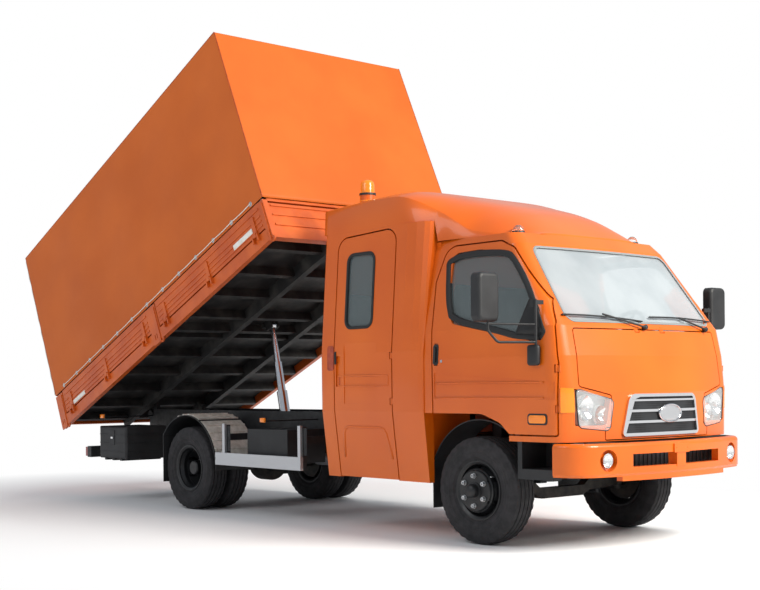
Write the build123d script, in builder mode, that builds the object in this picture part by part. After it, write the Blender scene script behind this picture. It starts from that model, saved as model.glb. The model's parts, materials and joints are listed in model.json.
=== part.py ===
from build123d import *
import os
from math import atan2, cos, hypot, radians, sin

os.makedirs("parts", exist_ok=True)

# Light cab-over dump truck with a crew module behind the cab and a covered tipping bed.
# Millimetres. +X forward, +Y to the truck's left, +Z up, ground at Z = 0.
# Stations along the truck are given from the front axle and turned to X by at().

# ---------------------------------------------------------------- driving sizes
WHEELBASE = 3810
FRONT_TRACK = 1650
REAR_TRACK = 1495
DUAL_SPACING = 255
TYRE_RADIUS = 401
TYRE_WIDTH = 215
BEAD_RADIUS = 203
FLANGE_RADIUS = 222
RIM_HALF_WIDTH = 88
BOLT_CIRCLE = 222.25
WHEEL_BOLTS = 6
DISC_THICKNESS = 12
HUB_RADIUS = 60
DRUM_RADIUS = 165
SPINDLE_RADIUS = 25
TIE_PIN_Y = 680
TIE_PIN_RADIUS = 9
TIE_EYE_RADIUS = 17
TIE_DRIFT = 16
RUNNING_FIT = 0.3
SEAT_GAP = 0.3
MOVING_GAP = 8
DOOR_GAP = 12

FRAME_WIDTH = 750
RAIL_FLANGE = 65
RAIL_PLATE = 8
FRAME_BOTTOM = 570
RAIL_HEIGHT = 200
FRAME_FRONT = 900
FRAME_REAR = -5750
SUBFRAME_TOP = 948
SUBFRAME_FRONT = -1830

KINGPIN_Y = 720
KINGPIN_RADIUS = 18
SPRING_WIDTH = 70
SPRING_LEAF = 12
STEER_ARM = 180

CAB_WALL = 48
CAB_REAR = -470
CAB_BOTTOM = 780
CAB_FLOOR_TOP = 1025
FLOOR_PLATE = 40
MODULE_REAR = -1710
MODULE_WALL = 40
MODULE_TOP = 2450
ROOF_TOP = 2765

BED_REST_TILT = 24.05
PIVOT_BEHIND_AXLE = 1668
PIVOT_Z = 889
PIVOT_U = 452
PIVOT_V = -101
BED_HALF = 1151
BED_LENGTH = 4124
BED_TAIL = 135
RAIL_V = 110
BOARD_BOTTOM = 130
BOARD_TOP = 384
BOARD_THICKNESS = 28
TARP_TOP = 2145
TARP_SKIN = 8
HINGE_V = 112
HINGE_OUT = 20

CYLINDER_X = -3457
CYLINDER_Z = 650
EYE_U = 2434
EYE_V = 20
BARREL_RADIUS = 65
STAGE_RADII = (52.5, 40, 30)

AXLE_Z = TYRE_RADIUS
REAR_AXLE = -WHEELBASE
RAIL_OUT = FRAME_WIDTH / 2
RAIL_IN = RAIL_OUT - RAIL_FLANGE
FRAME_TOP = FRAME_BOTTOM + RAIL_HEIGHT
FRONT_WHEEL_Y = FRONT_TRACK / 2
REAR_MID_Y = REAR_TRACK / 2
WHEEL_OFFSET = DUAL_SPACING / 2
BUMPER_FRONT = 1120
PIVOT_X = REAR_AXLE - PIVOT_BEHIND_AXLE

tilt = radians(BED_REST_TILT)
bed_corner_x = PIVOT_X - PIVOT_U * cos(tilt) + PIVOT_V * sin(tilt)
bed_corner_z = PIVOT_Z - PIVOT_U * sin(tilt) - PIVOT_V * cos(tilt)
rearmost = bed_corner_x - BED_TAIL * cos(tilt) - TARP_TOP * sin(tilt)
FRONT_AXLE_X = -(BUMPER_FRONT + rearmost) / 2


def at(station):
    """X of a station measured from the front axle."""
    return FRONT_AXLE_X + station


BED = Plane(
    origin=(at(bed_corner_x), 0, bed_corner_z),
    x_dir=(cos(tilt), 0, sin(tilt)),
    z_dir=(-sin(tilt), 0, cos(tilt)),
)


def block(x, y, z, mode=Mode.ADD):
    """A box from its ranges along three axes."""
    middle = tuple((low + high) / 2 for low, high in (x, y, z))
    with Locations(middle):
        Box(abs(x[1] - x[0]), abs(y[1] - y[0]), abs(z[1] - z[0]), mode=mode)


def rod(start, end, radius, mode=Mode.ADD):
    """A round bar between two points."""
    run = Vector(*end) - Vector(*start)
    with Locations(Plane(origin=start, z_dir=run)):
        Cylinder(radius, run.length, align=(Align.CENTER, Align.CENTER, Align.MIN), mode=mode)


def outline(rows):
    """A closed face from rows of (across, up, corner radius)."""
    with BuildLine() as loop:
        FilletPolyline(*[row[:2] for row in rows], radius=[row[2] for row in rows], close=True)
    make_face(loop.edges())


def side_rows(rows):
    """Rows of (station, z, corner radius) as rows of (x, z, corner radius)."""
    return [(at(station), z, radius) for station, z, radius in rows]


def save(piece, node):
    """Label a finished piece and write its STEP file."""
    piece.part.label = node
    export_step(piece.part, f"parts/{node}.step")


# ---------------------------------------------------------------- cab body sections
# Plan sections of the cab: z, front at the middle, centre of the corner arc, half width, corner radius.
CAB_SECTIONS = (
    (CAB_BOTTOM, 965, 735, 1000, 150),
    (1120, 978, 740, 1000, 150),
    (1380, 925, 725, 1000, 135),
    (1590, 852, 700, 985, 115),
    (2205, 425, 290, 865, 100),
    (2290, 340, 215, 832, 90),
)
CAB_TOP = CAB_SECTIONS[-1][0]


def plan_outline(front, corner_x, half, radius, rear):
    """Plan of the cab: straight sides and a shallow front arc, tangent to round corners."""
    corner_y = half - radius
    reach = front - corner_x
    front_radius = (reach**2 + corner_y**2 - radius**2) / (2 * (reach - radius))
    share = radius / (front_radius - radius)
    meet_x = corner_x + (corner_x - front + front_radius) * share
    meet_y = corner_y + corner_y * share
    with BuildLine() as loop:
        Line((at(rear), -half), (at(corner_x), -half))
        TangentArc((at(corner_x), -half), (at(meet_x), -meet_y), tangent=(1, 0))
        ThreePointArc((at(meet_x), -meet_y), (at(front), 0), (at(meet_x), meet_y))
        TangentArc((at(corner_x), half), (at(meet_x), meet_y), tangent=(1, 0))
        Line((at(corner_x), half), (at(rear), half))
        Line((at(rear), half), (at(rear), -half))
    make_face(loop.edges())


def cab_volume(inset, rear):
    """The cab's outer volume, drawn in by an inset on its front and sides."""
    with BuildPart() as volume:
        for z, front, corner_x, half, radius in CAB_SECTIONS:
            with BuildSketch(Plane.XY.offset(z)):
                plan_outline(front - inset, corner_x, half - inset, radius - inset, rear)
        loft(ruled=True)
    return volume.part


def side_prism(rows, near, far, grow=0):
    """A prism through a side outline, from |y| = near to |y| = far on the right side."""
    with BuildPart() as prism:
        with BuildSketch(Plane.XZ.offset(near)):
            outline(side_rows(rows))
            if grow:
                offset(amount=grow, kind=Kind.INTERSECTION, mode=Mode.REPLACE)
        extrude(amount=far - near)
    return prism.part


def front_prism(rows, rear, front, grow=0):
    """A prism through a front outline of (y, z, radius), between two stations."""
    with BuildPart() as prism:
        with BuildSketch(Plane.YZ.offset(at(rear))):
            outline(rows)
            if grow:
                offset(amount=grow, kind=Kind.INTERSECTION, mode=Mode.REPLACE)
        extrude(amount=front - rear)
    return prism.part


# Outlines seen from the side: station, z, corner radius.
DOOR_OUTLINE = (
    (812, 831, 10),
    (812, 1330, 60),
    (770, 1605, 60),
    (670, 1779, 60),
    (480, 1995, 60),
    (335, 2170, 90),
    (205, 2228, 60),
    (-330, 2232, 120),
    (-412, 1970, 60),
    (-378, 1350, 60),
    (-372, 972, 6),
    (124, 972, 200),
    (304, 909, 120),
    (392, 831, 10),
)
DOOR_WINDOW = (
    (640, 1478, 20),
    (655, 1700, 40),
    (470, 1965, 60),
    (300, 2150, 60),
    (0, 2186, 40),
    (-262, 2178, 60),
    (-262, 1770, 60),
    (-190, 1640, 60),
    (340, 1535, 60),
)
ARCH_OUTLINE = (
    (392, CAB_BOTTOM - 40, 0),
    (392, 831, 10),
    (304, 909, 120),
    (124, 972, 200),
    (CAB_REAR - 30, 972, 0),
    (CAB_REAR - 30, CAB_BOTTOM - 40, 0),
)
# Outlines seen from the front: y, z, corner radius. The right-hand ones are mirrored.
WINDSCREEN_OUTLINE = ((-838, 1622, 90), (838, 1622, 90), (765, 2178, 90), (-765, 2178, 90))
HOOD_OUTLINE = (
    (-820, 1566, 20),
    (820, 1566, 20),
    (835, 1168, 20),
    (548, 1104, 20),
    (548, 872, 10),
    (600, 872, 10),
    (600, 792, 10),
    (-600, 792, 10),
    (-600, 872, 10),
    (-548, 872, 10),
    (-548, 1104, 20),
    (-835, 1168, 20),
)
GRILLE_OUTLINE = ((-455, 808, 30), (455, 808, 30), (385, 1108, 70), (-385, 1108, 70))
HEADLAMP_OUTLINE = ((-560, 1079, 14), (-594, 892, 14), (-876, 893, 14), (-884, 1150, 8))
SIDE_LAMP_OUTLINE = ((-888, 1151, 6), (-880, 985, 10), (-985, 985, 6), (-985, 1160, 6))

body_volume = cab_volume(0, CAB_REAR)
room_volume = cab_volume(CAB_WALL, CAB_REAR + CAB_WALL)
LAMP_REAR = 836
BULKHEAD = 740

with BuildPart() as cab_walls:
    add(body_volume)
    add(room_volume, mode=Mode.SUBTRACT)
    add(side_prism(ARCH_OUTLINE, -1100, 1100), mode=Mode.SUBTRACT)

# ---------------------------------------------------------------- doors of the cab
HANDLE_RECESS = 16

# Hidden hinges: a pin in a round notch of the leaf's edge, and an eye on the body that turns on it.
HINGE_ROOM = 16
HINGE_SPAN = 56
LEAF_SPAN = 44
SMALL_PIN = 5
SMALL_EYE = 9
DOOR_HINGE = dict(x=804, y=969, heights=(1010, 1290))
CREW_HINGE = dict(x=-828, y=1012, heights=(1060, 1420))
PANEL_HINGE = dict(x=852, z=1558, across=(-150, 150))


def between(place, along, half):
    """Two points either side of a place, half a span away along a direction."""
    middle = Vector(*place)
    return tuple(middle - Vector(*along) * half), tuple(middle + Vector(*along) * half)


def leaf_hinge(place, along):
    """Cuts the notch in a door or panel and puts the pin across it."""
    rod(*between(place, along, HINGE_SPAN / 2), HINGE_ROOM, mode=Mode.SUBTRACT)
    rod(*between(place, along, HINGE_SPAN / 2 + 8), SMALL_PIN)


def body_hinge(place, along, x, y, z):
    """The eye on the body, with a leaf given by its ranges along the three axes."""
    block(x, y, z)
    rod(*between(place, along, LEAF_SPAN / 2), SMALL_EYE)
    rod(*between(place, along, LEAF_SPAN / 2 + 1), SMALL_PIN + RUNNING_FIT, mode=Mode.SUBTRACT)


# shallow band pressed into the door below its handle
BELT_OUTLINE = ((-360, 1092, 6), (-360, 1276, 6), (802, 1197, 6), (802, 1078, 6))
BELT_DEPTH = 5
with BuildPart() as belt_recess:
    add(side_prism(BELT_OUTLINE, 700, 1100))
    add(cab_volume(BELT_DEPTH, CAB_REAR - 10), mode=Mode.SUBTRACT)

with BuildPart() as door_front_right:
    add(cab_walls.part)
    add(side_prism(DOOR_OUTLINE, 500, 1100), mode=Mode.INTERSECT)
    add(side_prism(DOOR_WINDOW, 500, 1100), mode=Mode.SUBTRACT)
    add(belt_recess.part, mode=Mode.SUBTRACT)
    for z in DOOR_HINGE["heights"]:
        leaf_hinge((at(DOOR_HINGE["x"]), -DOOR_HINGE["y"], z), (0, 0, 1))
    # recess for the handle near the rear edge
    block((at(-362), at(-322)), (-1010, -1000 + HANDLE_RECESS), (1330, 1500), mode=Mode.SUBTRACT)

GLASS_DEPTH = 16
GLASS = 5
with BuildPart() as door_glass_right:
    add(cab_volume(GLASS_DEPTH, CAB_REAR))
    add(cab_volume(GLASS_DEPTH + GLASS, CAB_REAR - 10), mode=Mode.SUBTRACT)
    add(side_prism(DOOR_WINDOW, 500, 1100, grow=-SEAT_GAP), mode=Mode.INTERSECT)

MIRROR = dict(x=508, y=1352, z=1785, thick=80, wide=205, high=340)
STEM = dict(x=668, y=1022, low=1390, high=1772, radius=10)
TUBE = 9
with BuildPart() as door_trim_right:
    # mirror head with rounded corners
    with Locations((at(MIRROR["x"]), -MIRROR["y"], MIRROR["z"])):
        Box(MIRROR["thick"], MIRROR["wide"], MIRROR["high"])
    fillet(edges().filter_by(Axis.X), 45)
    fillet(faces().sort_by(Axis.X)[-1].edges(), 28)
    # bent tube from the stem to the underside of the head, and the straight one above it
    head_low = MIRROR["z"] - MIRROR["high"] / 2
    with BuildLine() as arm:
        FilletPolyline(
            (at(STEM["x"]), -STEM["y"], head_low - 140),
            (at(545), -1275, head_low - 140),
            (at(515), -1338, head_low - 60),
            (at(515), -1338, head_low + 30),
            radius=50,
        )
    with BuildSketch(Plane(origin=arm.line @ 0, z_dir=arm.line % 0)):
        Circle(TUBE)
    sweep()
    rod((at(STEM["x"]), -STEM["y"], head_low - 18), (at(515), -1338, head_low - 12), TUBE - 2)
    # upright stem, its clip on the door's frame and its foot on the door
    rod((at(STEM["x"]), -STEM["y"], STEM["low"]), (at(STEM["x"]), -STEM["y"], STEM["high"]), STEM["radius"])
    block((at(STEM["x"] - 12), at(STEM["x"] + 12)), (-STEM["y"] - 13, -953),
          (STEM["high"] - 34, STEM["high"] - 6))
    block((at(604), at(684)), (-STEM["y"] - 13, -1000 - SEAT_GAP), (1325, 1448))
    add(cab_volume(-SEAT_GAP, CAB_REAR), mode=Mode.SUBTRACT)

# ---------------------------------------------------------------- cab shell
with BuildPart() as cab_shell:
    add(cab_walls.part)
    for hand in (0, 1):
        opening = side_prism(DOOR_OUTLINE, 500, 1100, grow=DOOR_GAP)
        add(opening if hand == 0 else opening.mirror(Plane.XZ), mode=Mode.SUBTRACT)
    add(front_prism(HOOD_OUTLINE, 560, 1100, grow=MOVING_GAP), mode=Mode.SUBTRACT)
    add(front_prism(WINDSCREEN_OUTLINE, 300, 1100), mode=Mode.SUBTRACT)
    for rows in (HEADLAMP_OUTLINE, SIDE_LAMP_OUTLINE):
        pocket = front_prism(rows, LAMP_REAR - SEAT_GAP, 1100, grow=SEAT_GAP)
        add(pocket, mode=Mode.SUBTRACT)
        add(pocket.mirror(Plane.XZ), mode=Mode.SUBTRACT)
    for side in (-1, 1):
        for z in DOOR_HINGE["heights"]:
            place = (at(DOOR_HINGE["x"]), side * DOOR_HINGE["y"], z)
            body_hinge(place, (0, 0, 1), (place[0], place[0] + 30),
                       (place[1] - side * 11, place[1] - side * 3),
                       (z - LEAF_SPAN / 2, z + LEAF_SPAN / 2))
    for y in PANEL_HINGE["across"]:
        place = (at(PANEL_HINGE["x"]), y, PANEL_HINGE["z"])
        body_hinge(place, (0, 1, 0), (place[0] - 7, place[0] + 1), (y - LEAF_SPAN / 2, y + LEAF_SPAN / 2),
                   (place[2], place[2] + 34))
    # rear wall, roof, floor, footwell and the bulkhead behind the front panel
    side_in = 1000 - CAB_WALL - MOVING_GAP
    block((at(CAB_REAR), at(CAB_REAR + CAB_WALL)), (-850, 850), (985, CAB_TOP - 10))
    block((at(CAB_REAR), at(200)), (-780, 780), (CAB_TOP - CAB_WALL, CAB_TOP))
    block((at(CAB_REAR), at(425)), (-side_in, side_in), (CAB_FLOOR_TOP - FLOOR_PLATE, CAB_FLOOR_TOP))
    block((at(400), at(440)), (-side_in, side_in), (CAB_BOTTOM + 30, CAB_FLOOR_TOP))
    block((at(425), at(820)), (-820, 820), (CAB_BOTTOM + 30, CAB_BOTTOM + 60))
    block((at(BULKHEAD), at(BULKHEAD + 22)), (-838, 838), (CAB_BOTTOM + 30, 1560))

with BuildPart() as windscreen:
    add(cab_volume(8, CAB_REAR))
    add(cab_volume(14, CAB_REAR - 10), mode=Mode.SUBTRACT)
    add(front_prism(WINDSCREEN_OUTLINE, 300, 1100, grow=-SEAT_GAP), mode=Mode.INTERSECT)

# ---------------------------------------------------------------- lifting front panel and grille
PANEL_SKIN = 22
panel_room = cab_volume(PANEL_SKIN, CAB_REAR)
with BuildPart() as front_panel:
    add(body_volume)
    add(panel_room, mode=Mode.SUBTRACT)
    add(front_prism(HOOD_OUTLINE, 700, 1100), mode=Mode.INTERSECT)
    add(front_prism(GRILLE_OUTLINE, 700, 1100, grow=SEAT_GAP), mode=Mode.SUBTRACT)
    for y in PANEL_HINGE["across"]:
        leaf_hinge((at(PANEL_HINGE["x"]), y, PANEL_HINGE["z"]), (0, 1, 0))

FRAME_BAR = 22
GRILLE_PROUD = 16
# bars across the grille: z of the middle, height
GRILLE_BARS = ((1062, 14), (987, 18), (908, 18))
with BuildPart() as grille:
    # arched surround, three bars and the pierced plate behind them, all on the panel's curve
    add(cab_volume(-GRILLE_PROUD, CAB_REAR))
    add(cab_volume(PANEL_SKIN - 2, CAB_REAR - 10), mode=Mode.SUBTRACT)
    add(front_prism(GRILLE_OUTLINE, 700, 1100), mode=Mode.INTERSECT)
    add(front_prism(GRILLE_OUTLINE, 700, 1100, grow=-FRAME_BAR), mode=Mode.SUBTRACT)

face_curve = cab_volume(-GRILLE_PROUD + 6, CAB_REAR)
plate_curve = cab_volume(4, CAB_REAR)
with BuildPart() as bar_slabs:
    for z, height in GRILLE_BARS:
        block((at(800), at(1100)), (-450, 450), (z - height / 2, z + height / 2))

with BuildPart() as grille_bars:
    add(face_curve)
    add(cab_volume(PANEL_SKIN - 2, CAB_REAR - 10), mode=Mode.SUBTRACT)
    add(bar_slabs.part, mode=Mode.INTERSECT)
    add(front_prism(GRILLE_OUTLINE, 700, 1100, grow=-4), mode=Mode.INTERSECT)

with BuildPart() as grille_plate:
    add(plate_curve)
    add(cab_volume(PANEL_SKIN - 2, CAB_REAR - 10), mode=Mode.SUBTRACT)
    add(front_prism(GRILLE_OUTLINE, 700, 1100, grow=-4), mode=Mode.INTERSECT)

with BuildPart() as whole_grille:
    add(grille.part)
    add(grille_bars.part)
    add(grille_plate.part)

# ---------------------------------------------------------------- lamps let into the corners
LAMP_DEPTH = 40
lamp_room = cab_volume(LAMP_DEPTH, CAB_REAR)
FOG_Y = 728
FOG_Z = 654
FOG_RADIUS = 52
with BuildPart() as headlamp_volume:
    add(cab_volume(-4, CAB_REAR))
    add(lamp_room, mode=Mode.SUBTRACT)
    add(front_prism(HEADLAMP_OUTLINE, 700, 1100), mode=Mode.INTERSECT)
with BuildPart() as side_lamp_volume:
    add(cab_volume(-4, CAB_REAR))
    add(lamp_room, mode=Mode.SUBTRACT)
    add(front_prism(SIDE_LAMP_OUTLINE, LAMP_REAR, 1100), mode=Mode.INTERSECT)

# ---------------------------------------------------------------- bumper
BUMPER_LOW = 541
BUMPER_HIGH = 772
BUMPER_WALL = 55
BUMPER_CORNER = (800, 1005, 240)
BUMPER_REAR = 790
INTAKE_HALF = 507
INTAKE_LOW = 604
INTAKE_HIGH = 693
FOG_RECESS = 75
PLATE_BRACKET_HALF = 88


def bumper_plan(inset, rear):
    """Plan of the bumper, drawn in by an inset."""
    corner_x, half, radius = BUMPER_CORNER
    plan_outline(BUMPER_FRONT - inset, corner_x, half - inset, radius - inset, rear)


with BuildPart() as bumper:
    with BuildSketch(Plane.XY.offset(BUMPER_LOW)):
        bumper_plan(0, BUMPER_REAR)
    extrude(amount=BUMPER_HIGH - BUMPER_LOW)
    fillet(faces().sort_by(Axis.Z)[-1].edges().filter_by(GeomType.LINE, reverse=True), 30)
    fillet(faces().sort_by(Axis.Z)[0].edges().filter_by(GeomType.LINE, reverse=True), 22)
    # chin below the intake
    with BuildSketch(Plane.XY.offset(BUMPER_LOW - 32)):
        bumper_plan(6, BUMPER_REAR)
    extrude(amount=70)
    block((at(700), at(1300)), (-1100, -600), (BUMPER_LOW - 60, BUMPER_LOW), mode=Mode.SUBTRACT)
    block((at(700), at(1300)), (600, 1100), (BUMPER_LOW - 60, BUMPER_LOW), mode=Mode.SUBTRACT)
    with BuildSketch(Plane.XY.offset(BUMPER_LOW - 40)):
        bumper_plan(BUMPER_WALL, BUMPER_REAR - 100)
    extrude(amount=BUMPER_HIGH - BUMPER_LOW + 80, mode=Mode.SUBTRACT)
    block((at(900), at(1300)), (-INTAKE_HALF, INTAKE_HALF), (INTAKE_LOW, INTAKE_HIGH), mode=Mode.SUBTRACT)
    for side in (-1, 1):
        rod((at(1012), side * FOG_Y, FOG_Z), (at(1200), side * FOG_Y, FOG_Z), FOG_RECESS, mode=Mode.SUBTRACT)
    # number plate bracket across the intake, and the pads on the frame's brackets
    block((at(1050), at(BUMPER_FRONT + 10)), (-PLATE_BRACKET_HALF, PLATE_BRACKET_HALF), (688, 752))
    block((at(1050), at(BUMPER_FRONT + 4)), (-52, 52), (590, 700))
    with Locations(Plane(origin=(at(BUMPER_FRONT), 0, 720), z_dir=(1, 0, 0), x_dir=(0, 1, 0))):
        with GridLocations(130, 1, 2, 1):
            Hole(3.5, 60)
    for side in (-1, 1):
        block((at(1000), at(1075)), (side * RAIL_IN, side * RAIL_OUT), (700, 760))

with BuildPart() as front_lamps:
    add(headlamp_volume.part)
    add(headlamp_volume.part.mirror(Plane.XZ))
    for side in (-1, 1):
        rod((at(1012 + SEAT_GAP), side * FOG_Y, FOG_Z), (at(1044), side * FOG_Y, FOG_Z), FOG_RADIUS)

# ---------------------------------------------------------------- crew module
# Cross-section: half width at each height, at the rear wall and where it meets the cab.
MODULE_SECTION = (  # z, half width rear, half width front
    (433, 950, 950),
    (980, 1018, 1008),
    (1450, 1020, 1006),
    (MODULE_TOP, 948, 872),
)
MODULE_FRONT = CAB_REAR - SEAT_GAP
TUNNEL_HALF = 470
TUNNEL_TOP = 960
FLARE_BACK = -690
CREW_DOOR = (
    (-820, 440, 10),
    (-820, 2425, 110),
    (-1515, 2395, 110),
    (-1515, 440, 10),
)
CREW_WINDOW = ((-1060, 1655, 60), (-1060, 2262, 60), (-1390, 2258, 60), (-1390, 1652, 60))


def module_face(front_share, inset):
    """Cross-section of the crew module with the tunnel over the frame."""
    rows = [(z, rear + (front - rear) * front_share) for z, rear, front in MODULE_SECTION]
    side = [(half - inset, z) for z, half in rows]
    low, top = side[0][1] + inset, MODULE_TOP
    right = [(TUNNEL_HALF + inset, low), (side[0][0], low)] + side[1:3] + [(side[3][0], top)]
    left = [(-y, z) for y, z in reversed(right)]
    tunnel = [(-TUNNEL_HALF - inset, TUNNEL_TOP + inset), (TUNNEL_HALF + inset, TUNNEL_TOP + inset)]
    with BuildLine() as loop:
        Polyline(*right, *left, *tunnel, close=True)
    make_face(loop.edges())


# The flare towards the cab: how far along it, and how much of the narrowing is done there.
MODULE_FLARE = ((0, 0), (0.45, 0.11), (0.75, 0.34), (0.93, 0.66), (1, 1))


def module_volume(inset):
    """The module's volume: parallel behind, then rounded in towards the cab."""
    run = MODULE_FRONT - inset - FLARE_BACK
    rows = [(MODULE_REAR + inset, 0)] + [(FLARE_BACK + run * along, share) for along, share in MODULE_FLARE]
    with BuildPart() as volume:
        for station, share in rows:
            with BuildSketch(Plane.YZ.offset(at(station))):
                module_face(share, inset)
        loft(ruled=True)
    return volume.part


module_outer = module_volume(0)
with BuildPart() as module_walls:
    add(module_outer)
    fillet(edges().filter_by(Axis.Z, reverse=True).group_by(Axis.X)[0].filter_by(
        lambda e: abs(e.center().Y) > 900), 45)
    add(module_volume(MODULE_WALL), mode=Mode.SUBTRACT)

PANEL_SUNK = 6
# The door takes the whole side wall; the module's floor stays inside it.
CREW_DOOR_INNER = 905

with BuildPart() as crew_door_right:
    add(module_walls.part)
    add(side_prism(CREW_DOOR, CREW_DOOR_INNER, 1100), mode=Mode.INTERSECT)
    add(side_prism(CREW_WINDOW, 700, 1100), mode=Mode.SUBTRACT)
    for z in CREW_HINGE["heights"]:
        leaf_hinge((at(CREW_HINGE["x"]), -CREW_HINGE["y"], z), (0, 0, 1))
    # handle recess at the rear edge and the sunk panel below the window
    block((at(-1500), at(-1440)), (-1030, -1020 + HANDLE_RECESS), (1180, 1430), mode=Mode.SUBTRACT)
    block((at(-1395), at(-1000)), (-1030, -1020 + PANEL_SUNK), (1040, 1560), mode=Mode.SUBTRACT)
with BuildPart() as crew_glass_right:
    add(module_volume(12))
    add(module_volume(12 + GLASS), mode=Mode.SUBTRACT)
    add(side_prism(CREW_WINDOW, 700, 1100, grow=-SEAT_GAP), mode=Mode.INTERSECT)

with BuildPart() as crew_module:
    add(module_walls.part)
    opening = side_prism(CREW_DOOR, CREW_DOOR_INNER - DOOR_GAP, 1100, grow=DOOR_GAP)
    add(opening, mode=Mode.SUBTRACT)
    add(opening.mirror(Plane.XZ), mode=Mode.SUBTRACT)
    for side in (-1, 1):
        for z in CREW_HINGE["heights"]:
            place = (at(CREW_HINGE["x"]), side * CREW_HINGE["y"], z)
            body_hinge(place, (0, 0, 1), (place[0], place[0] + 30),
                       (place[1] - side * 4, place[1] + side * 4),
                       (z - LEAF_SPAN / 2, z + LEAF_SPAN / 2))
    # room for the front wheels under the cab's rear edge
    for side in (-1, 1):
        block((at(-505), at(-300)), (side * (TUNNEL_HALF - 10), side * 900), (400, 962), mode=Mode.SUBTRACT)
        block((at(-545), at(-505)), (side * TUNNEL_HALF, side * 912), (440, 1000))
        block((at(-545), at(MODULE_FRONT)), (side * TUNNEL_HALF, side * 912), (962, 1000))

# ---------------------------------------------------------------- roof fairing
# Sections along the roof: station, bottom z, half width, shoulder z, top z, shoulder radius.
OVER_MODULE = MODULE_TOP + SEAT_GAP
OVER_CAB = CAB_TOP + SEAT_GAP
ROOF_FRONT = 325
ROOF_SECTIONS = (
    (MODULE_REAR, OVER_MODULE, 948, 2625, 2702, 50),
    (-1100, OVER_MODULE, 948, 2655, 2737, 50),
    (-810, OVER_MODULE, 948, 2640, 2735, 50),
    (-640, OVER_MODULE, 931, 2588, 2695, 55),
    (-469, OVER_MODULE, 874, 2496, 2652, 60),
    (-468, OVER_CAB, 873, 2495, 2651, 60),
    (-300, OVER_CAB, 850, 2385, 2610, 62),
    (-150, OVER_CAB, 826, 2306, 2567, 62),
    (0, OVER_CAB, 795, 2294, 2508, 62),
    (110, OVER_CAB, 755, 2293, 2447, 58),
    (220, OVER_CAB, 690, 2292, 2375, 45),
    (ROOF_FRONT, OVER_CAB, 560, 2291, 2298, 20),
)
ROOF_SKIN = 25


def roof_face(bottom, half, shoulder, top, radius, inset):
    """Arched cross-section of the roof fairing."""
    with BuildLine() as loop:
        Line((-half + inset, bottom), (half - inset, bottom))
        Line((half - inset, bottom), (half - inset - 20, shoulder - inset))
        ThreePointArc((half - inset - 20, shoulder - inset),
                      (half - radius, shoulder + (top - shoulder) * 0.62 - inset),
                      (half - inset - 2.6 * radius, top - (top - shoulder) * 0.16 - inset))
        ThreePointArc((half - inset - 2.6 * radius, top - (top - shoulder) * 0.16 - inset), (0, top - inset),
                      (-half + inset + 2.6 * radius, top - (top - shoulder) * 0.16 - inset))
        ThreePointArc((-half + inset + 2.6 * radius, top - (top - shoulder) * 0.16 - inset),
                      (-half + radius, shoulder + (top - shoulder) * 0.62 - inset),
                      (-half + inset + 20, shoulder - inset))
        Line((-half + inset + 20, shoulder - inset), (-half + inset, bottom))
    make_face(loop.edges())


def roof_volume(inset, rear, front):
    """The fairing's volume, drawn in by an inset and open to below."""
    with BuildPart() as volume:
        for station, bottom, half, shoulder, top, radius in ROOF_SECTIONS:
            end = rear if station == MODULE_REAR else front if station == ROOF_SECTIONS[-1][0] else station
            with BuildSketch(Plane.YZ.offset(at(end))):
                roof_face(bottom - inset, half, shoulder, top, radius, inset)
        loft(ruled=True)
    return volume.part


with BuildPart() as roof_fairing:
    add(roof_volume(0, MODULE_REAR, ROOF_SECTIONS[-1][0]))
    add(roof_volume(ROOF_SKIN, MODULE_REAR + ROOF_SKIN, ROOF_FRONT), mode=Mode.SUBTRACT)

# ---------------------------------------------------------------- chassis frame
CROSSMEMBERS = (-5690, -4650, -3000, -1900, -1150, 760)
SPRING_EYE_Z = 522
SPRING_EYE_RADIUS = 22
SPRING_PIN = 10
AXLE_PAD = 434
REAR_PAD = 462
SPRINGS = (  # axle station, half length, underside of the pack on the axle
    (0, 590, AXLE_PAD + SEAT_GAP),
    (REAR_AXLE, 620, REAR_PAD + SEAT_GAP),
)
SPRING_Y = RAIL_OUT + 40
OUTRIGGERS = (-3146, -2010)
GUARD_Y = 1020
GUARD_PLATE = 30
CAB_MOUNTS = ((-300, CAB_FLOOR_TOP - FLOOR_PLATE), (700, CAB_BOTTOM + 30))
MODULE_MOUNTS = (-1560, -640)
UNDERRUN = dict(low=430, high=550, rear=-5880, front=-5800, half=940)

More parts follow.
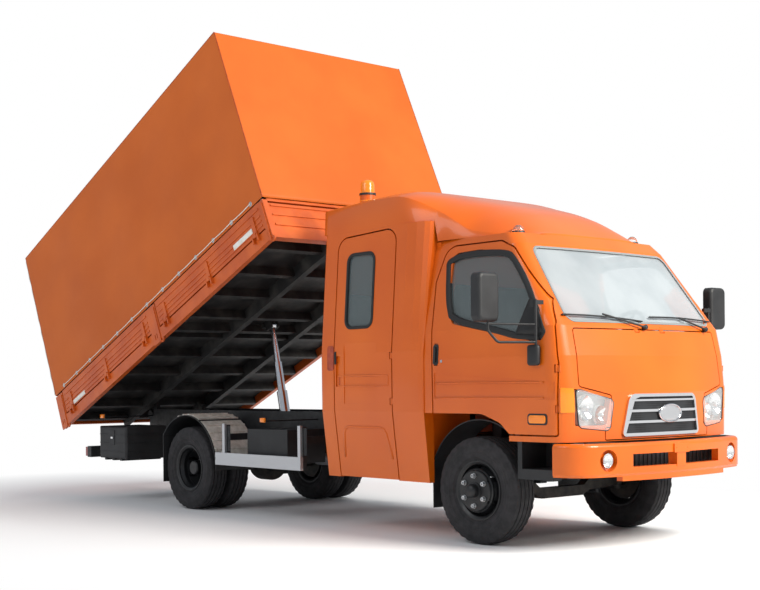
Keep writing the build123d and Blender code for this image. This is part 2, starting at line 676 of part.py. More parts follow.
with BuildPart() as chassis_frame:
    for side in (-1, 1):
        block((at(FRAME_REAR), at(FRAME_FRONT)), (side * RAIL_IN, side * RAIL_OUT), (FRAME_BOTTOM, FRAME_TOP))
        block((at(FRAME_REAR - 1), at(FRAME_FRONT + 1)),
              (side * (RAIL_IN - 1), side * (RAIL_OUT - RAIL_PLATE)),
              (FRAME_BOTTOM + RAIL_PLATE, FRAME_TOP - RAIL_PLATE), mode=Mode.SUBTRACT)
    for station in CROSSMEMBERS:
        block((at(station - 35), at(station + 35)), (-RAIL_OUT + RAIL_PLATE, RAIL_OUT - RAIL_PLATE),
              (FRAME_TOP - 84, FRAME_TOP - RAIL_PLATE))
    for side in (-1, 1):
        # bumper brackets, cab and module mounts, guard outriggers, underrun hangers
        block((at(FRAME_FRONT - 60), at(1000 - SEAT_GAP)), (side * RAIL_IN, side * RAIL_OUT), (700, 760))
        for station, top in CAB_MOUNTS:
            block((at(station - 40), at(station + 40)), (side * RAIL_IN, side * RAIL_OUT),
                  (FRAME_TOP, top - SEAT_GAP))
        for station in MODULE_MOUNTS:
            block((at(station - 40), at(station + 40)), (side * RAIL_IN, side * RAIL_OUT),
                  (FRAME_TOP, TUNNEL_TOP - SEAT_GAP))
        for station in OUTRIGGERS:
            block((at(station - 25), at(station + 25)),
                  (side * (RAIL_OUT - 2), side * (GUARD_Y - GUARD_PLATE - SEAT_GAP)),
                  (690, 750))
            block((at(station - 25), at(station + 25)),
                  (side * (GUARD_Y - GUARD_PLATE - 40), side * (GUARD_Y - GUARD_PLATE - SEAT_GAP)),
                  (475, 835))
        block((at(UNDERRUN["rear"]), at(FRAME_REAR + 60)),
              (side * (RAIL_OUT - RAIL_PLATE), side * (RAIL_OUT + 20)),
              (UNDERRUN["low"], FRAME_TOP - 20))
        # spring hangers: two ears and a pin
        for axle, half, seat in SPRINGS:
            for end in (-1, 1):
                x = axle + end * half
                for ear in (-1, 1):
                    y = side * SPRING_Y + ear * (SPRING_WIDTH / 2 + 6)
                    block((at(x - 30), at(x + 30)), (y - 5, y + 5), (SPRING_EYE_Z - 30, FRAME_BOTTOM + 6))
                block((at(x - 30), at(x + 30)), (side * (RAIL_OUT - 12),
                                                 side * (SPRING_Y + SPRING_WIDTH / 2 + 11)),
                      (SPRING_EYE_Z + 28, FRAME_BOTTOM + 6))
                block((at(x - 30), at(x + 30)), (side * (RAIL_OUT - 2), side * (RAIL_OUT + 10)),
                      (SPRING_EYE_Z + 28, FRAME_BOTTOM + 90))
                rod((at(x), side * SPRING_Y - SPRING_WIDTH / 2 - 8, SPRING_EYE_Z),
                    (at(x), side * SPRING_Y + SPRING_WIDTH / 2 + 8, SPRING_EYE_Z), SPRING_PIN)
    block((at(UNDERRUN["rear"]), at(UNDERRUN["front"])), (-UNDERRUN["half"], UNDERRUN["half"]),
          (UNDERRUN["low"], UNDERRUN["high"]))

with BuildPart() as leaf_springs:
    for axle, half, seat in SPRINGS:
        for side in (-1, 1):
            with BuildSketch(Plane.XZ.offset(-side * SPRING_Y - SPRING_WIDTH / 2)):
                for leaf, share in enumerate((1.0, 0.78, 0.56, 0.34)):
                    low = seat + SPRING_LEAF * (3 - leaf)
                    rise = (SPRING_EYE_Z - seat - 4 * SPRING_LEAF) * share**2
                    reach = half * share
                    with BuildLine():
                        ThreePointArc((at(axle - reach), low + rise), (at(axle), low),
                                      (at(axle + reach), low + rise))
                        ThreePointArc((at(axle - reach), low + rise + SPRING_LEAF),
                                      (at(axle), low + SPRING_LEAF),
                                      (at(axle + reach), low + rise + SPRING_LEAF))
                        Line((at(axle - reach), low + rise), (at(axle - reach), low + rise + SPRING_LEAF))
                        Line((at(axle + reach), low + rise), (at(axle + reach), low + rise + SPRING_LEAF))
                    make_face()
                with Locations((at(axle - half), SPRING_EYE_Z), (at(axle + half), SPRING_EYE_Z)):
                    Circle(SPRING_EYE_RADIUS)
                    Circle(SPRING_PIN + SEAT_GAP, mode=Mode.SUBTRACT)
            extrude(amount=SPRING_WIDTH)

# ---------------------------------------------------------------- axles, knuckles and tie rod
KNUCKLE_EYE = 45
with BuildPart() as front_axle:
    with BuildSketch(Plane.YZ.offset(at(-38))):
        with BuildLine():
            Polyline((-700, 445), (-560, 434), (-330, 434), (-260, 380), (260, 380), (330, 434), (560, 434),
                     (700, 445), (700, 365), (560, 350), (330, 340), (240, 300), (-240, 300), (-330, 340),
                     (-560, 350), (-700, 365), close=True)
        make_face()
    extrude(amount=76)
    for side in (-1, 1):
        with Locations((at(0), side * KINGPIN_Y, AXLE_Z)):
            Cylinder(40, 2 * KNUCKLE_EYE)
            Cylinder(KINGPIN_RADIUS + RUNNING_FIT, 2 * KNUCKLE_EYE, mode=Mode.SUBTRACT)

SPINDLE_END = FRONT_WHEEL_Y + 128
with BuildPart() as knuckle_right:
    # fork over and under the axle's eye, kingpin, spindle, brake plate and steering arm
    with Locations((at(0), -KINGPIN_Y, AXLE_Z)):
        for up in (-1, 1):
            with Locations((0, 0, up * (KNUCKLE_EYE + 5.5 + 14))):
                Cylinder(42, 28)
        Cylinder(KINGPIN_RADIUS, 2 * KNUCKLE_EYE + 20)
    block((at(-38), at(38)), (-KINGPIN_Y - 75, -KINGPIN_Y - 50),
          (AXLE_Z - KNUCKLE_EYE - 33.5, AXLE_Z + KNUCKLE_EYE + 33.5))
    for up in (-1, 1):
        low = AXLE_Z + up * (KNUCKLE_EYE + 5.5)
        block((at(-38), at(38)), (-KINGPIN_Y - 60, -KINGPIN_Y), (low, low + up * 28))
    rod((at(0), -KINGPIN_Y - 60, AXLE_Z), (at(0), -SPINDLE_END, AXLE_Z), SPINDLE_RADIUS)
    rod((at(0), -KINGPIN_Y - 70, AXLE_Z), (at(0), -KINGPIN_Y - 82, AXLE_Z), DRUM_RADIUS - 2)
    arm_z = AXLE_Z - KNUCKLE_EYE - 5.5 - 28
    block((at(-STEER_ARM - 22), at(-20)), (-TIE_PIN_Y - 20, -TIE_PIN_Y + 20), (arm_z, arm_z + 18))
    with Locations((at(-STEER_ARM), -TIE_PIN_Y, arm_z - 20)):
        Cylinder(TIE_PIN_RADIUS, 42)

TIE_ROD_Z = AXLE_Z - KNUCKLE_EYE - 5.5 - 28 - 24
# The rod turns on the right knuckle's pin. Its left eye is wider by TIE_DRIFT, as the pins draw apart in a turn.
TIE_EYES = ((-1, TIE_EYE_RADIUS, TIE_PIN_RADIUS + RUNNING_FIT),
            (1, TIE_EYE_RADIUS + TIE_DRIFT, TIE_PIN_RADIUS + TIE_DRIFT))
with BuildPart() as tie_rod:
    rod((at(-STEER_ARM), -TIE_PIN_Y + 15, TIE_ROD_Z), (at(-STEER_ARM), TIE_PIN_Y - 25, TIE_ROD_Z), 13)
    for side, eye, bore in TIE_EYES:
        with Locations((at(-STEER_ARM), side * TIE_PIN_Y, TIE_ROD_Z)):
            Cylinder(eye, 30)
            Cylinder(bore, 40, mode=Mode.SUBTRACT)

REAR_SPINDLE = 35
PINION_REACH = 260
PINION_RISE = 0.046


def pinion_z(reach):
    """Height of the pinion's line, a reach ahead of the rear axle."""
    return AXLE_Z + PINION_RISE * reach


REAR_PLATE_Y = REAR_MID_Y - 190
with BuildPart() as rear_axle:
    rod((at(REAR_AXLE), -REAR_PLATE_Y, AXLE_Z), (at(REAR_AXLE), REAR_PLATE_Y, AXLE_Z), 55)
    rod((at(REAR_AXLE), -REAR_MID_Y - 110, AXLE_Z), (at(REAR_AXLE), REAR_MID_Y + 110, AXLE_Z), REAR_SPINDLE)
    with BuildSketch(Plane.YZ.offset(at(REAR_AXLE - 70))):
        with Locations((0, AXLE_Z)):
            Ellipse(190, 165)
    extrude(amount=140)
    rod((at(REAR_AXLE), 0, AXLE_Z), (at(REAR_AXLE + PINION_REACH), 0, pinion_z(PINION_REACH)), 75)
    rod((at(REAR_AXLE), 0, AXLE_Z), (at(REAR_AXLE - 130), 0, AXLE_Z), 110)
    for side in (-1, 1):
        block((at(REAR_AXLE - 55), at(REAR_AXLE + 55)), (side * SPRING_Y - 38, side * SPRING_Y + 38),
              (AXLE_Z + 30, REAR_PAD))
        rod((at(REAR_AXLE), side * (REAR_PLATE_Y - 10), AXLE_Z), (at(REAR_AXLE), side * REAR_PLATE_Y, AXLE_Z),
            DRUM_RADIUS - 2)

# ---------------------------------------------------------------- wheels
# Rim section from the inner flange to the outer one: radius, distance outboard of the tyre's middle.
RIM_SECTION = (
    (FLANGE_RADIUS, -RIM_HALF_WIDTH), (FLANGE_RADIUS, -82), (BEAD_RADIUS, -81), (BEAD_RADIUS, -58),
    (188, -40), (188, 25), (BEAD_RADIUS, 58), (BEAD_RADIUS, 81), (FLANGE_RADIUS, 82),
               (FLANGE_RADIUS, RIM_HALF_WIDTH),
    (213, RIM_HALF_WIDTH), (194, 76), (194, 62), (179, 29), (179, -44), (194, -66), (194, -76),
               (213, -RIM_HALF_WIDTH),
)
DISC_FACE = WHEEL_OFFSET
DISC_SECTION = (
    (184, 10), (184, 34), (152, DISC_FACE - 6), (146, DISC_FACE), (HUB_RADIUS, DISC_FACE),
    (HUB_RADIUS, DISC_FACE - DISC_THICKNESS), (138, DISC_FACE - DISC_THICKNESS), (142, DISC_FACE - 18),
                (174, 10),
)
HAND_HOLES = 6
HAND_HOLE_RADIUS = 17
NUT_RADIUS = 16
NUT_HEIGHT = 20


def spin(rows, station, y, side, flip=1):
    """Revolve rows of (radius, distance outboard) about the wheel's axis."""
    plane = Plane(origin=(at(station), side * y, AXLE_Z), x_dir=(1, 0, 0), z_dir=(0, 0, side))
    with BuildSketch(plane) as section:
        with BuildLine():
            Polyline(*[(radius, out * flip) for radius, out in rows], close=True)
        make_face()
    revolve(section.sketch, axis=Axis((at(station), side * y, AXLE_Z), (0, side, 0)))


def bolt_plane(station, y, side):
    """Plane across the wheel's axis, facing outboard."""
    return Plane(origin=(at(station), side * y, AXLE_Z), x_dir=(1, 0, 0), z_dir=(0, side, 0))


def wheel_disc(station, y, side, flip):
    """Rim and disc of one wheel, dished outward with flip 1 and inward with flip -1."""
    spin(RIM_SECTION, station, y, side)
    spin(DISC_SECTION, station, y, side, flip)
    with Locations(bolt_plane(station, y, side)):
        with PolarLocations(163, HAND_HOLES, start_angle=30):
            with Locations((0, 0, flip * 70)):
                Cylinder(HAND_HOLE_RADIUS, 110, mode=Mode.SUBTRACT)


def wheel_nuts(station, y, side):
    """Six nuts on the bolt circle, standing outboard of |y|."""
    with BuildSketch(bolt_plane(station, y, side)) as nuts:
        with PolarLocations(BOLT_CIRCLE / 2, WHEEL_BOLTS, start_angle=30):
            RegularPolygon(NUT_RADIUS, 6)
    extrude(nuts.sketch, amount=NUT_HEIGHT)


FRONT_HUB = (  # bore, drum and cap
    (SPINDLE_RADIUS + RUNNING_FIT, 0), (SPINDLE_RADIUS + RUNNING_FIT, 134), (0, 134), (0, 188), (34, 186),
    (48, 172), (52, DISC_FACE + 6), (HUB_RADIUS + 6, DISC_FACE + 4),
             (HUB_RADIUS + 6, DISC_FACE - DISC_THICKNESS - 2),
    (DRUM_RADIUS - 6, 108), (DRUM_RADIUS, 100), (DRUM_RADIUS, -14), (DRUM_RADIUS - 12, -14),
             (DRUM_RADIUS - 12, 92),
    (HUB_RADIUS, 92), (HUB_RADIUS, 0),
)
REAR_HUB = (  # distances from the joint between the twin wheels
    (REAR_SPINDLE + RUNNING_FIT, -170), (REAR_SPINDLE + RUNNING_FIT, 120), (0, 120), (0, 168), (60, 168),
    (68, 158), (78, 60), (90, 30), (90, -20), (140, -16), (140, -12 - SEAT_GAP), (150, -40),
            (DRUM_RADIUS, -50),
    (DRUM_RADIUS, -180), (DRUM_RADIUS - 12, -180), (DRUM_RADIUS - 12, -62), (HUB_RADIUS, -62),
            (HUB_RADIUS, -170),
)


def tyre(station, y, side):
    """Tyre section: beads against the rim, bulging walls and a crowned tread."""
    plane = Plane(origin=(at(station), side * y, AXLE_Z), x_dir=(1, 0, 0), z_dir=(0, 0, side))
    bead = BEAD_RADIUS + SEAT_GAP
    wall = 82 - SEAT_GAP - 1
    half = TYRE_WIDTH / 2
    with BuildSketch(plane) as section:
        with BuildLine():
            Polyline((FLANGE_RADIUS + 2, -wall), (bead, -wall), (bead, wall), (FLANGE_RADIUS + 2, wall))
            ThreePointArc((FLANGE_RADIUS + 2, wall), (305, half), (TYRE_RADIUS - 22, half - 14))
            Line((TYRE_RADIUS - 22, half - 14), (TYRE_RADIUS - 5, half - 26))
            ThreePointArc((TYRE_RADIUS - 5, half - 26), (TYRE_RADIUS, 0), (TYRE_RADIUS - 5, -half + 26))
            Line((TYRE_RADIUS - 5, -half + 26), (TYRE_RADIUS - 22, -half + 14))
            ThreePointArc((TYRE_RADIUS - 22, -half + 14), (305, -half), (FLANGE_RADIUS + 2, -wall))
        make_face()
    revolve(section.sketch, axis=Axis((at(station), side * y, AXLE_Z), (0, side, 0)))


OUTER_Y = REAR_MID_Y + WHEEL_OFFSET
INNER_Y = REAR_MID_Y - WHEEL_OFFSET
for side, hand in ((-1, "right"), (1, "left")):
    with BuildPart() as front_rim:
        wheel_disc(0, FRONT_WHEEL_Y, side, 1)
        spin(FRONT_HUB, 0, FRONT_WHEEL_Y, side)
        wheel_nuts(0, FRONT_WHEEL_Y + DISC_FACE, side)
    save(front_rim, f"front_rim_{hand}")
    with BuildPart() as front_tyre:
        tyre(0, FRONT_WHEEL_Y, side)
    save(front_tyre, f"front_tyre_{hand}")
    with BuildPart() as rear_rims:
        wheel_disc(REAR_AXLE, INNER_Y, side, 1)
        wheel_disc(REAR_AXLE, OUTER_Y, side, -1)
        spin(REAR_HUB, REAR_AXLE, REAR_MID_Y, side)
        wheel_nuts(REAR_AXLE, REAR_MID_Y + DISC_THICKNESS, side)
    save(rear_rims, f"rear_rims_{hand}")
    with BuildPart() as rear_tyres:
        tyre(REAR_AXLE, INNER_Y, side)
        tyre(REAR_AXLE, OUTER_Y, side)
    save(rear_tyres, f"rear_tyres_{hand}")

# ---------------------------------------------------------------- power train under the floor
flange = PINION_REACH + SEAT_GAP
flange_end = flange + 40
with BuildPart() as powertrain:
    block((at(-480), at(330)), (-240, 240), (500, 950))
    with BuildSketch(Plane.YZ.offset(at(-480))):
        with Locations((0, 640)):
            Circle(190)
    extrude(amount=-480, taper=8)
    rod((at(-950), 0, 640), (at(-2350), 0, 560), 38)
    rod((at(-2350), 0, 560), (at(REAR_AXLE + flange_end), 0, pinion_z(flange_end)), 36)
    rod((at(REAR_AXLE + flange_end), 0, pinion_z(flange_end)), (at(REAR_AXLE + flange), 0, pinion_z(flange)),
        50)
    for side in (-1, 1):
        block((at(-60), at(60)), (side * 230, side * (RAIL_IN - SEAT_GAP)), (600, 700))

SILENCER = dict(rear=-2750, front=-2050, y=-190, z=520, radius=78)
with BuildPart() as exhaust:
    y, z = SILENCER["y"], SILENCER["z"]
    rod((at(SILENCER["rear"]), y, z), (at(SILENCER["front"]), y, z), SILENCER["radius"])
    rod((at(SILENCER["front"]), y, z), (at(-1000), y, z + 40), 28)
    rod((at(SILENCER["rear"]), y, z), (at(-3120), y, z), 28)
    for station in (-1900, -3000):
        block((at(station - 12), at(station + 12)), (y - 12, y + 12), (z + 5, FRAME_TOP - 84 - SEAT_GAP))

with BuildPart() as fuel_tank:
    block((at(-2900), at(-2200)), (470, 930), (455, 810))
    fillet(edges().filter_by(Axis.X), 70)
    for station in (-2750, -2350):
        block((at(station - 20), at(station + 20)), (RAIL_OUT + SEAT_GAP, 480), (600, 740))

TOOLBOX = dict(rear=-5415, front=-4862, out=1050, inner=560, low=445, high=785)
with BuildPart() as service_boxes:
    # battery box behind the guard, tool box behind the wheels
    block((at(-2880), at(-2280)), (-930, -500), (500, 800))
    for station in (-2750, -2400):
        block((at(station - 20), at(station + 20)), (-510, -RAIL_OUT - SEAT_GAP), (600, 740))
    block((at(TOOLBOX["rear"]), at(TOOLBOX["front"])), (-TOOLBOX["out"], -TOOLBOX["inner"]),
          (TOOLBOX["low"], TOOLBOX["high"]))
    fillet(faces().sort_by(Axis.Y)[0].edges(), 26)
    for x in (TOOLBOX["rear"] + 120, TOOLBOX["rear"] + 277, TOOLBOX["rear"] + 434):
        block((at(x - 24), at(x + 24)), (-TOOLBOX["out"] + 10, -TOOLBOX["inner"] - 20),
              (TOOLBOX["low"] - 18, TOOLBOX["low"] + 1))
    for station in (-5300, -4980):
        block((at(station - 25), at(station + 25)), (-TOOLBOX["inner"] - 5, -RAIL_OUT - SEAT_GAP), (620, 740))

FENDER_RADIUS = 517
FENDER_SKIN = 8
with BuildPart() as rear_fenders:
    for side in (-1, 1):
        with BuildSketch(Plane.XZ.offset(505 if side < 0 else -1000)):
            with Locations((at(REAR_AXLE), AXLE_Z)):
                Circle(FENDER_RADIUS)
                Circle(FENDER_RADIUS - FENDER_SKIN, mode=Mode.SUBTRACT)
            with Locations((at(REAR_AXLE), AXLE_Z - 300)):
                Rectangle(1200, 600, mode=Mode.SUBTRACT)
            with Locations((at(REAR_AXLE - 510), AXLE_Z + 100)):
                Rectangle(200, 420, mode=Mode.SUBTRACT)
            with Locations((at(REAR_AXLE - 408), AXLE_Z + 88)):
                Rectangle(FENDER_SKIN, 480)
        extrude(amount=495)
        for dx, z in ((360, 735), (-405, 690)):
            block((at(REAR_AXLE + dx - 15), at(REAR_AXLE + dx + 15)),
                  (side * (RAIL_OUT + SEAT_GAP), side * 600),
                  (z, z + 30))

with BuildPart() as side_guards:
    for side in (-1, 1):
        block((at(-3275), at(-1985)), (side * (GUARD_Y - GUARD_PLATE), side * GUARD_Y), (460, 575))
        block((at(-3275), at(-1985)), (side * (GUARD_Y - 3), side * (GUARD_Y + 1)), (506, 529),
              mode=Mode.SUBTRACT)
        for station in OUTRIGGERS:
            block((at(station - 19), at(station + 19)),
                  (side * (GUARD_Y - GUARD_PLATE), side * (GUARD_Y - 6)), (560, 845))

# ---------------------------------------------------------------- steps and front arch liners
STEP = dict(rear=458, front=784, out=985, inner=560, low=515, tread=588, high=CAB_BOTTOM - SEAT_GAP)
LINER_RADIUS = 528
with BuildPart() as steps:
    for side in (-1, 1):
        block((at(STEP["rear"]), at(STEP["front"])), (side * STEP["inner"], side * STEP["out"]),
              (STEP["low"], STEP["high"]))
        block((at(STEP["rear"] + 40), at(STEP["front"] + 1)), (side * 730, side * (STEP["out"] + 1)),
              (STEP["tread"], STEP["high"] + 1), mode=Mode.SUBTRACT)
        block((at(STEP["rear"] + 40), at(STEP["front"] + 1)), (side * 600, side * 900),
              (STEP["low"] - 1, STEP["tread"] - 30),
              mode=Mode.SUBTRACT)
        block((at(STEP["rear"] + 10), at(STEP["rear"] + 60)),
              (side * (RAIL_OUT + SEAT_GAP), side * (STEP["inner"] + 10)),
              (640, 700))

with BuildPart() as arch_liners:
    for side in (-1, 1):
        with BuildSketch(Plane.XZ.offset(560 if side < 0 else -890)):
            with Locations((at(0), AXLE_Z)):
                Circle(LINER_RADIUS)
                Circle(LINER_RADIUS - 8, mode=Mode.SUBTRACT)
            with Locations((at(0), AXLE_Z - 230)):
                Rectangle(1200, 860, mode=Mode.SUBTRACT)
        extrude(amount=330)
        block((at(-486), at(-478)), (side * 560, side * 900), (240, 610))

# ---------------------------------------------------------------- inside the cab
with BuildPart() as dashboard:
    with BuildSketch(Plane.XZ.offset(-810)):
        outline(side_rows(((480, 1180, 20), (560, 1100, 20), (BULKHEAD - SEAT_GAP, 1100, 0),
                           (BULKHEAD - SEAT_GAP, 1520, 20),
                           (600, 1530, 40), (500, 1440, 40))))
    extrude(amount=1620)
    rod((at(600), 400, 1380), (at(330), 400, 1560), 25)
    with Locations(Plane(origin=(at(320), 400, 1567), z_dir=(-0.83, 0, 0.55))):
        Torus(205, 15)
        Cylinder(40, 30)
        Box(400, 26, 12)

SEAT_TOP = 1420
with BuildPart() as seats:
    # driver's seat, double seat beside it and the crew's bench: y range, backrest station, floor
    for low, high, back, floor in ((130, 700, -400, CAB_FLOOR_TOP), (-800, 60, -400, CAB_FLOOR_TOP),
                                   (-850, 850, -1640, TUNNEL_TOP + MODULE_WALL)):
        with BuildSketch(Plane.XZ.offset(-high)):
            outline(side_rows((
                (back + 60, floor + SEAT_GAP, 0), (back + 500, floor + SEAT_GAP, 20),
                               (back + 560, SEAT_TOP - 130, 20),
                (back + 560, SEAT_TOP, 40), (back + 170, SEAT_TOP - 20, 40), (back + 100, SEAT_TOP + 560, 40),
                (back, SEAT_TOP + 560, 40), (back + 40, SEAT_TOP - 60, 20))))
        extrude(amount=high - low)

# ---------------------------------------------------------------- amber and red lamps
BEACON = dict(x=-1600, y=-560, root=2660, foot=2693, radius=62, height=150, base=62)
MARKER_STATIONS = (-5440, -2550)
roof_surface = roof_volume(-SEAT_GAP, MODULE_REAR, ROOF_FRONT)
with BuildPart() as beacon:
    # round base and domed lens, cut to the roof's slope
    x, y = at(BEACON["x"]), BEACON["y"]
    collar = BEACON["foot"] + BEACON["base"]
    rod((x, y, BEACON["root"]), (x, y, collar), BEACON["radius"])
    rod((x, y, collar), (x, y, collar + 12), BEACON["radius"] + 6)
    rod((x, y, collar), (x, y, BEACON["foot"] + BEACON["height"]), BEACON["radius"] - 6)
    fillet(faces().sort_by(Axis.Z)[-1].edges(), 48)
    add(roof_surface, mode=Mode.SUBTRACT)

with BuildPart() as amber_lamps:
    add(side_lamp_volume.part)
    add(side_lamp_volume.part.mirror(Plane.XZ))
    add(beacon.part)
    for side in (-1, 1):
        # side markers on the doors' lower corners are trim; these stand on the frame
        for station in MARKER_STATIONS:
            block((at(station - 40), at(station + 40)),
                  (side * (RAIL_OUT + SEAT_GAP), side * (RAIL_OUT + 30)),
                  (FRAME_TOP - 40, FRAME_TOP - 10))

with BuildPart() as tail_lamps:
    for side in (-1, 1):
        block((at(UNDERRUN["rear"] - 60), at(UNDERRUN["rear"] - SEAT_GAP)), (side * 660, side * 930),
              (440, 540))

# ---------------------------------------------------------------- tipping subframe
CRADLE_Y = 85
CRADLE_PLATE = 20
CRADLE_HALF = 140
CROSS_HALF = RAIL_OUT - RAIL_PLATE - SEAT_GAP
TRUNNION = 25
PIN_RADIUS = 24
with BuildPart() as subframe:
    for side in (-1, 1):
        block((at(PIVOT_X + 70), at(SUBFRAME_FRONT)), (side * RAIL_IN, side * RAIL_OUT),
              (FRAME_TOP + SEAT_GAP, SUBFRAME_TOP))
        block((at(PIVOT_X + 60), at(SUBFRAME_FRONT + 1)),
              (side * (RAIL_IN - 1), side * (RAIL_OUT - RAIL_PLATE)),
              (FRAME_TOP + 10, SUBFRAME_TOP - 10), mode=Mode.SUBTRACT)
        block((at(PIVOT_X - 10), at(PIVOT_X + 80)), (side * RAIL_IN, side * RAIL_OUT),
              (FRAME_TOP + SEAT_GAP, PIVOT_Z + 10))
        rod((at(PIVOT_X), side * RAIL_IN, PIVOT_Z), (at(PIVOT_X), side * RAIL_OUT, PIVOT_Z), 48)
        rod((at(PIVOT_X), side * (RAIL_IN - 75), PIVOT_Z), (at(PIVOT_X), side * RAIL_OUT, PIVOT_Z),
            PIN_RADIUS)
        block((at(CYLINDER_X - CRADLE_HALF + SEAT_GAP), at(CYLINDER_X + CRADLE_HALF - SEAT_GAP)),
              (side * CRADLE_Y, side * (CRADLE_Y + CRADLE_PLATE)), (CYLINDER_Z - 60, CYLINDER_Z + 60))
    for station in (-2000, -2800, -4300, -5200):
        block((at(station - 40), at(station + 40)), (-CROSS_HALF, CROSS_HALF),
              (FRAME_TOP + 60, SUBFRAME_TOP - 30))
    for end in (-1, 1):
        block((at(CYLINDER_X + end * CRADLE_HALF), at(CYLINDER_X + end * (CRADLE_HALF + 35))),
              (-RAIL_IN + SEAT_GAP, RAIL_IN - SEAT_GAP), (CYLINDER_Z - 60, FRAME_TOP + 60))
    for side in (-1, 1):
        rod((at(CYLINDER_X), side * (CRADLE_Y - 5), CYLINDER_Z),
            (at(CYLINDER_X), side * (CRADLE_Y + CRADLE_PLATE + 5), CYLINDER_Z),
            TRUNNION + RUNNING_FIT, mode=Mode.SUBTRACT)

# ---------------------------------------------------------------- tipping cylinder
eye_x = bed_corner_x + EYE_U * cos(tilt) - EYE_V * sin(tilt)
eye_z = bed_corner_z + EYE_U * sin(tilt) + EYE_V * cos(tilt)
cylinder_run = hypot(eye_x - CYLINDER_X, eye_z - CYLINDER_Z)
lean = atan2(CYLINDER_X - eye_x, eye_z - CYLINDER_Z)
CYLINDER = Plane(origin=(at(CYLINDER_X), 0, CYLINDER_Z), x_dir=(cos(lean), 0, sin(lean)),
                 z_dir=(-sin(lean), 0, cos(lean)))
low_dx = PIVOT_X + (EYE_U - PIVOT_U) - CYLINDER_X
low_dz = PIVOT_Z + (EYE_V - PIVOT_V) - CYLINDER_Z
closed_run = hypot(low_dx, low_dz)
STAGE_STROKE = (cylinder_run - closed_run) / 3
BARREL_BELOW = 168
BARREL_ABOVE = 200
with BuildPart(CYLINDER) as cylinder_barrel:
    rod((0, 0, -BARREL_BELOW), (0, 0, BARREL_ABOVE), BARREL_RADIUS)
    rod((0, 0, BARREL_ABOVE - 45), (0, 0, BARREL_ABOVE - 5), BARREL_RADIUS + 8)
    rod((0, -CRADLE_Y - CRADLE_PLATE, 0), (0, CRADLE_Y + CRADLE_PLATE, 0), TRUNNION)
    rod((0, 0, -BARREL_BELOW + 8), (0, 0, BARREL_ABOVE + 1), STAGE_RADII[0] + RUNNING_FIT, mode=Mode.SUBTRACT)

stage_parts = []
# stage: outer radius, radius of the next stage inside, closed bottom and top above the trunnion
STAGES = (
    (STAGE_RADII[0], STAGE_RADII[1], -158, 225),
    (STAGE_RADII[1], STAGE_RADII[2], -148, 250),
    (STAGE_RADII[2], 0, -138, closed_run - 30),
)
for number, (radius, core, bottom, top) in enumerate(STAGES, start=1):
    out = number * STAGE_STROKE
    with BuildPart(CYLINDER) as stage:
        rod((0, 0, bottom + out), (0, 0, top + out), radius)
        if core:
            rod((0, 0, bottom + out + 8), (0, 0, top + out + 1), core + RUNNING_FIT, mode=Mode.SUBTRACT)
        else:
            rod((0, -26, top + 30 + out), (0, 26, top + 30 + out), 40)
            rod((0, -27, top + 30 + out), (0, 27, top + 30 + out), 29, mode=Mode.SUBTRACT)
    save(stage, f"cylinder_stage_{number}")

# ---------------------------------------------------------------- tipping bed
CROSS_U = (100, 452, 860, 1290, 1720, 2150, 2300, 2590, 3020, 3450, 3900)
LONG_V = (-36, 85)
LONG_Y = (380, 450)
FLOOR_V = (85, RAIL_V - 12)
SIDE_POST = ((-BED_TAIL, 18), (1982, 2148), (4057, BED_LENGTH))
POST_TOP = 375
with BuildPart(BED) as bed_frame:
    for side in (-1, 1):
        block((0, 4050), (side * LONG_Y[0], side * LONG_Y[1]), LONG_V)
        # ears on the pivot
        block((PIVOT_U - 45, PIVOT_U + 45), (side * (RAIL_IN - 60), side * (RAIL_IN - 12)), (PIVOT_V, 20))
        rod((PIVOT_U, side * (RAIL_IN - 60), PIVOT_V), (PIVOT_U, side * (RAIL_IN - 12), PIVOT_V), 45)
        rod((PIVOT_U, side * (RAIL_IN - 61), PIVOT_V), (PIVOT_U, side * (RAIL_IN - 11), PIVOT_V),
            PIN_RADIUS + RUNNING_FIT,
            mode=Mode.SUBTRACT)
        # bracket that holds the cylinder's eye
        block((EYE_U - 50, EYE_U + 50), (side * 34, side * 50), (EYE_V - 40, 90))
    for u in CROSS_U:
        block((u - 25, u + 25), (-BED_HALF + 60, BED_HALF - 60), (0, FLOOR_V[0]))
    block((5, 4050), (-BED_HALF + 55, BED_HALF - 55), FLOOR_V)
    block((EYE_U - 160, EYE_U - 60), (-60, 60), (30, FLOOR_V[0]))
    block((EYE_U - 160, EYE_U + 175), (-RAIL_IN, RAIL_IN), (77, FLOOR_V[0]))
    rod((EYE_U, -50, EYE_V), (EYE_U, 50, EYE_V), 17)

RAIL_DEPTH = 52
with BuildPart(BED) as bed_rails:
    for side in (-1, 1):
        block((-20, BED_LENGTH), (side * (BED_HALF - RAIL_DEPTH), side * BED_HALF), (0, RAIL_V))
        for low, high in SIDE_POST:
            block((low, high), (side * (BED_HALF - RAIL_DEPTH), side * BED_HALF), (0, POST_TOP))
            # raised face, two latch slots and the rounded foot with its lashing hole
            block((low + 18, high - 18), (side * (BED_HALF - 2), side * (BED_HALF + 8)), (-20, POST_TOP - 25))
            for slot in (-18, 18):
                block(((low + high) / 2 + slot - 6, (low + high) / 2 + slot + 6),
                      (side * (BED_HALF - 6), side * (BED_HALF + 9)),
                      (24, 78), mode=Mode.SUBTRACT)
            rod((high - 10, side * (BED_HALF - 14), -8), (high - 10, side * BED_HALF, -8), 30)
            rod((high - 10, side * (BED_HALF - 15), -8), (high - 10, side * (BED_HALF + 9), -8), 11,
                mode=Mode.SUBTRACT)
    block((-20, 0), (-BED_HALF + 40, BED_HALF - 40), (0, RAIL_V))
    block((4060, BED_LENGTH), (-BED_HALF + 40, BED_HALF - 40), (0, RAIL_V))

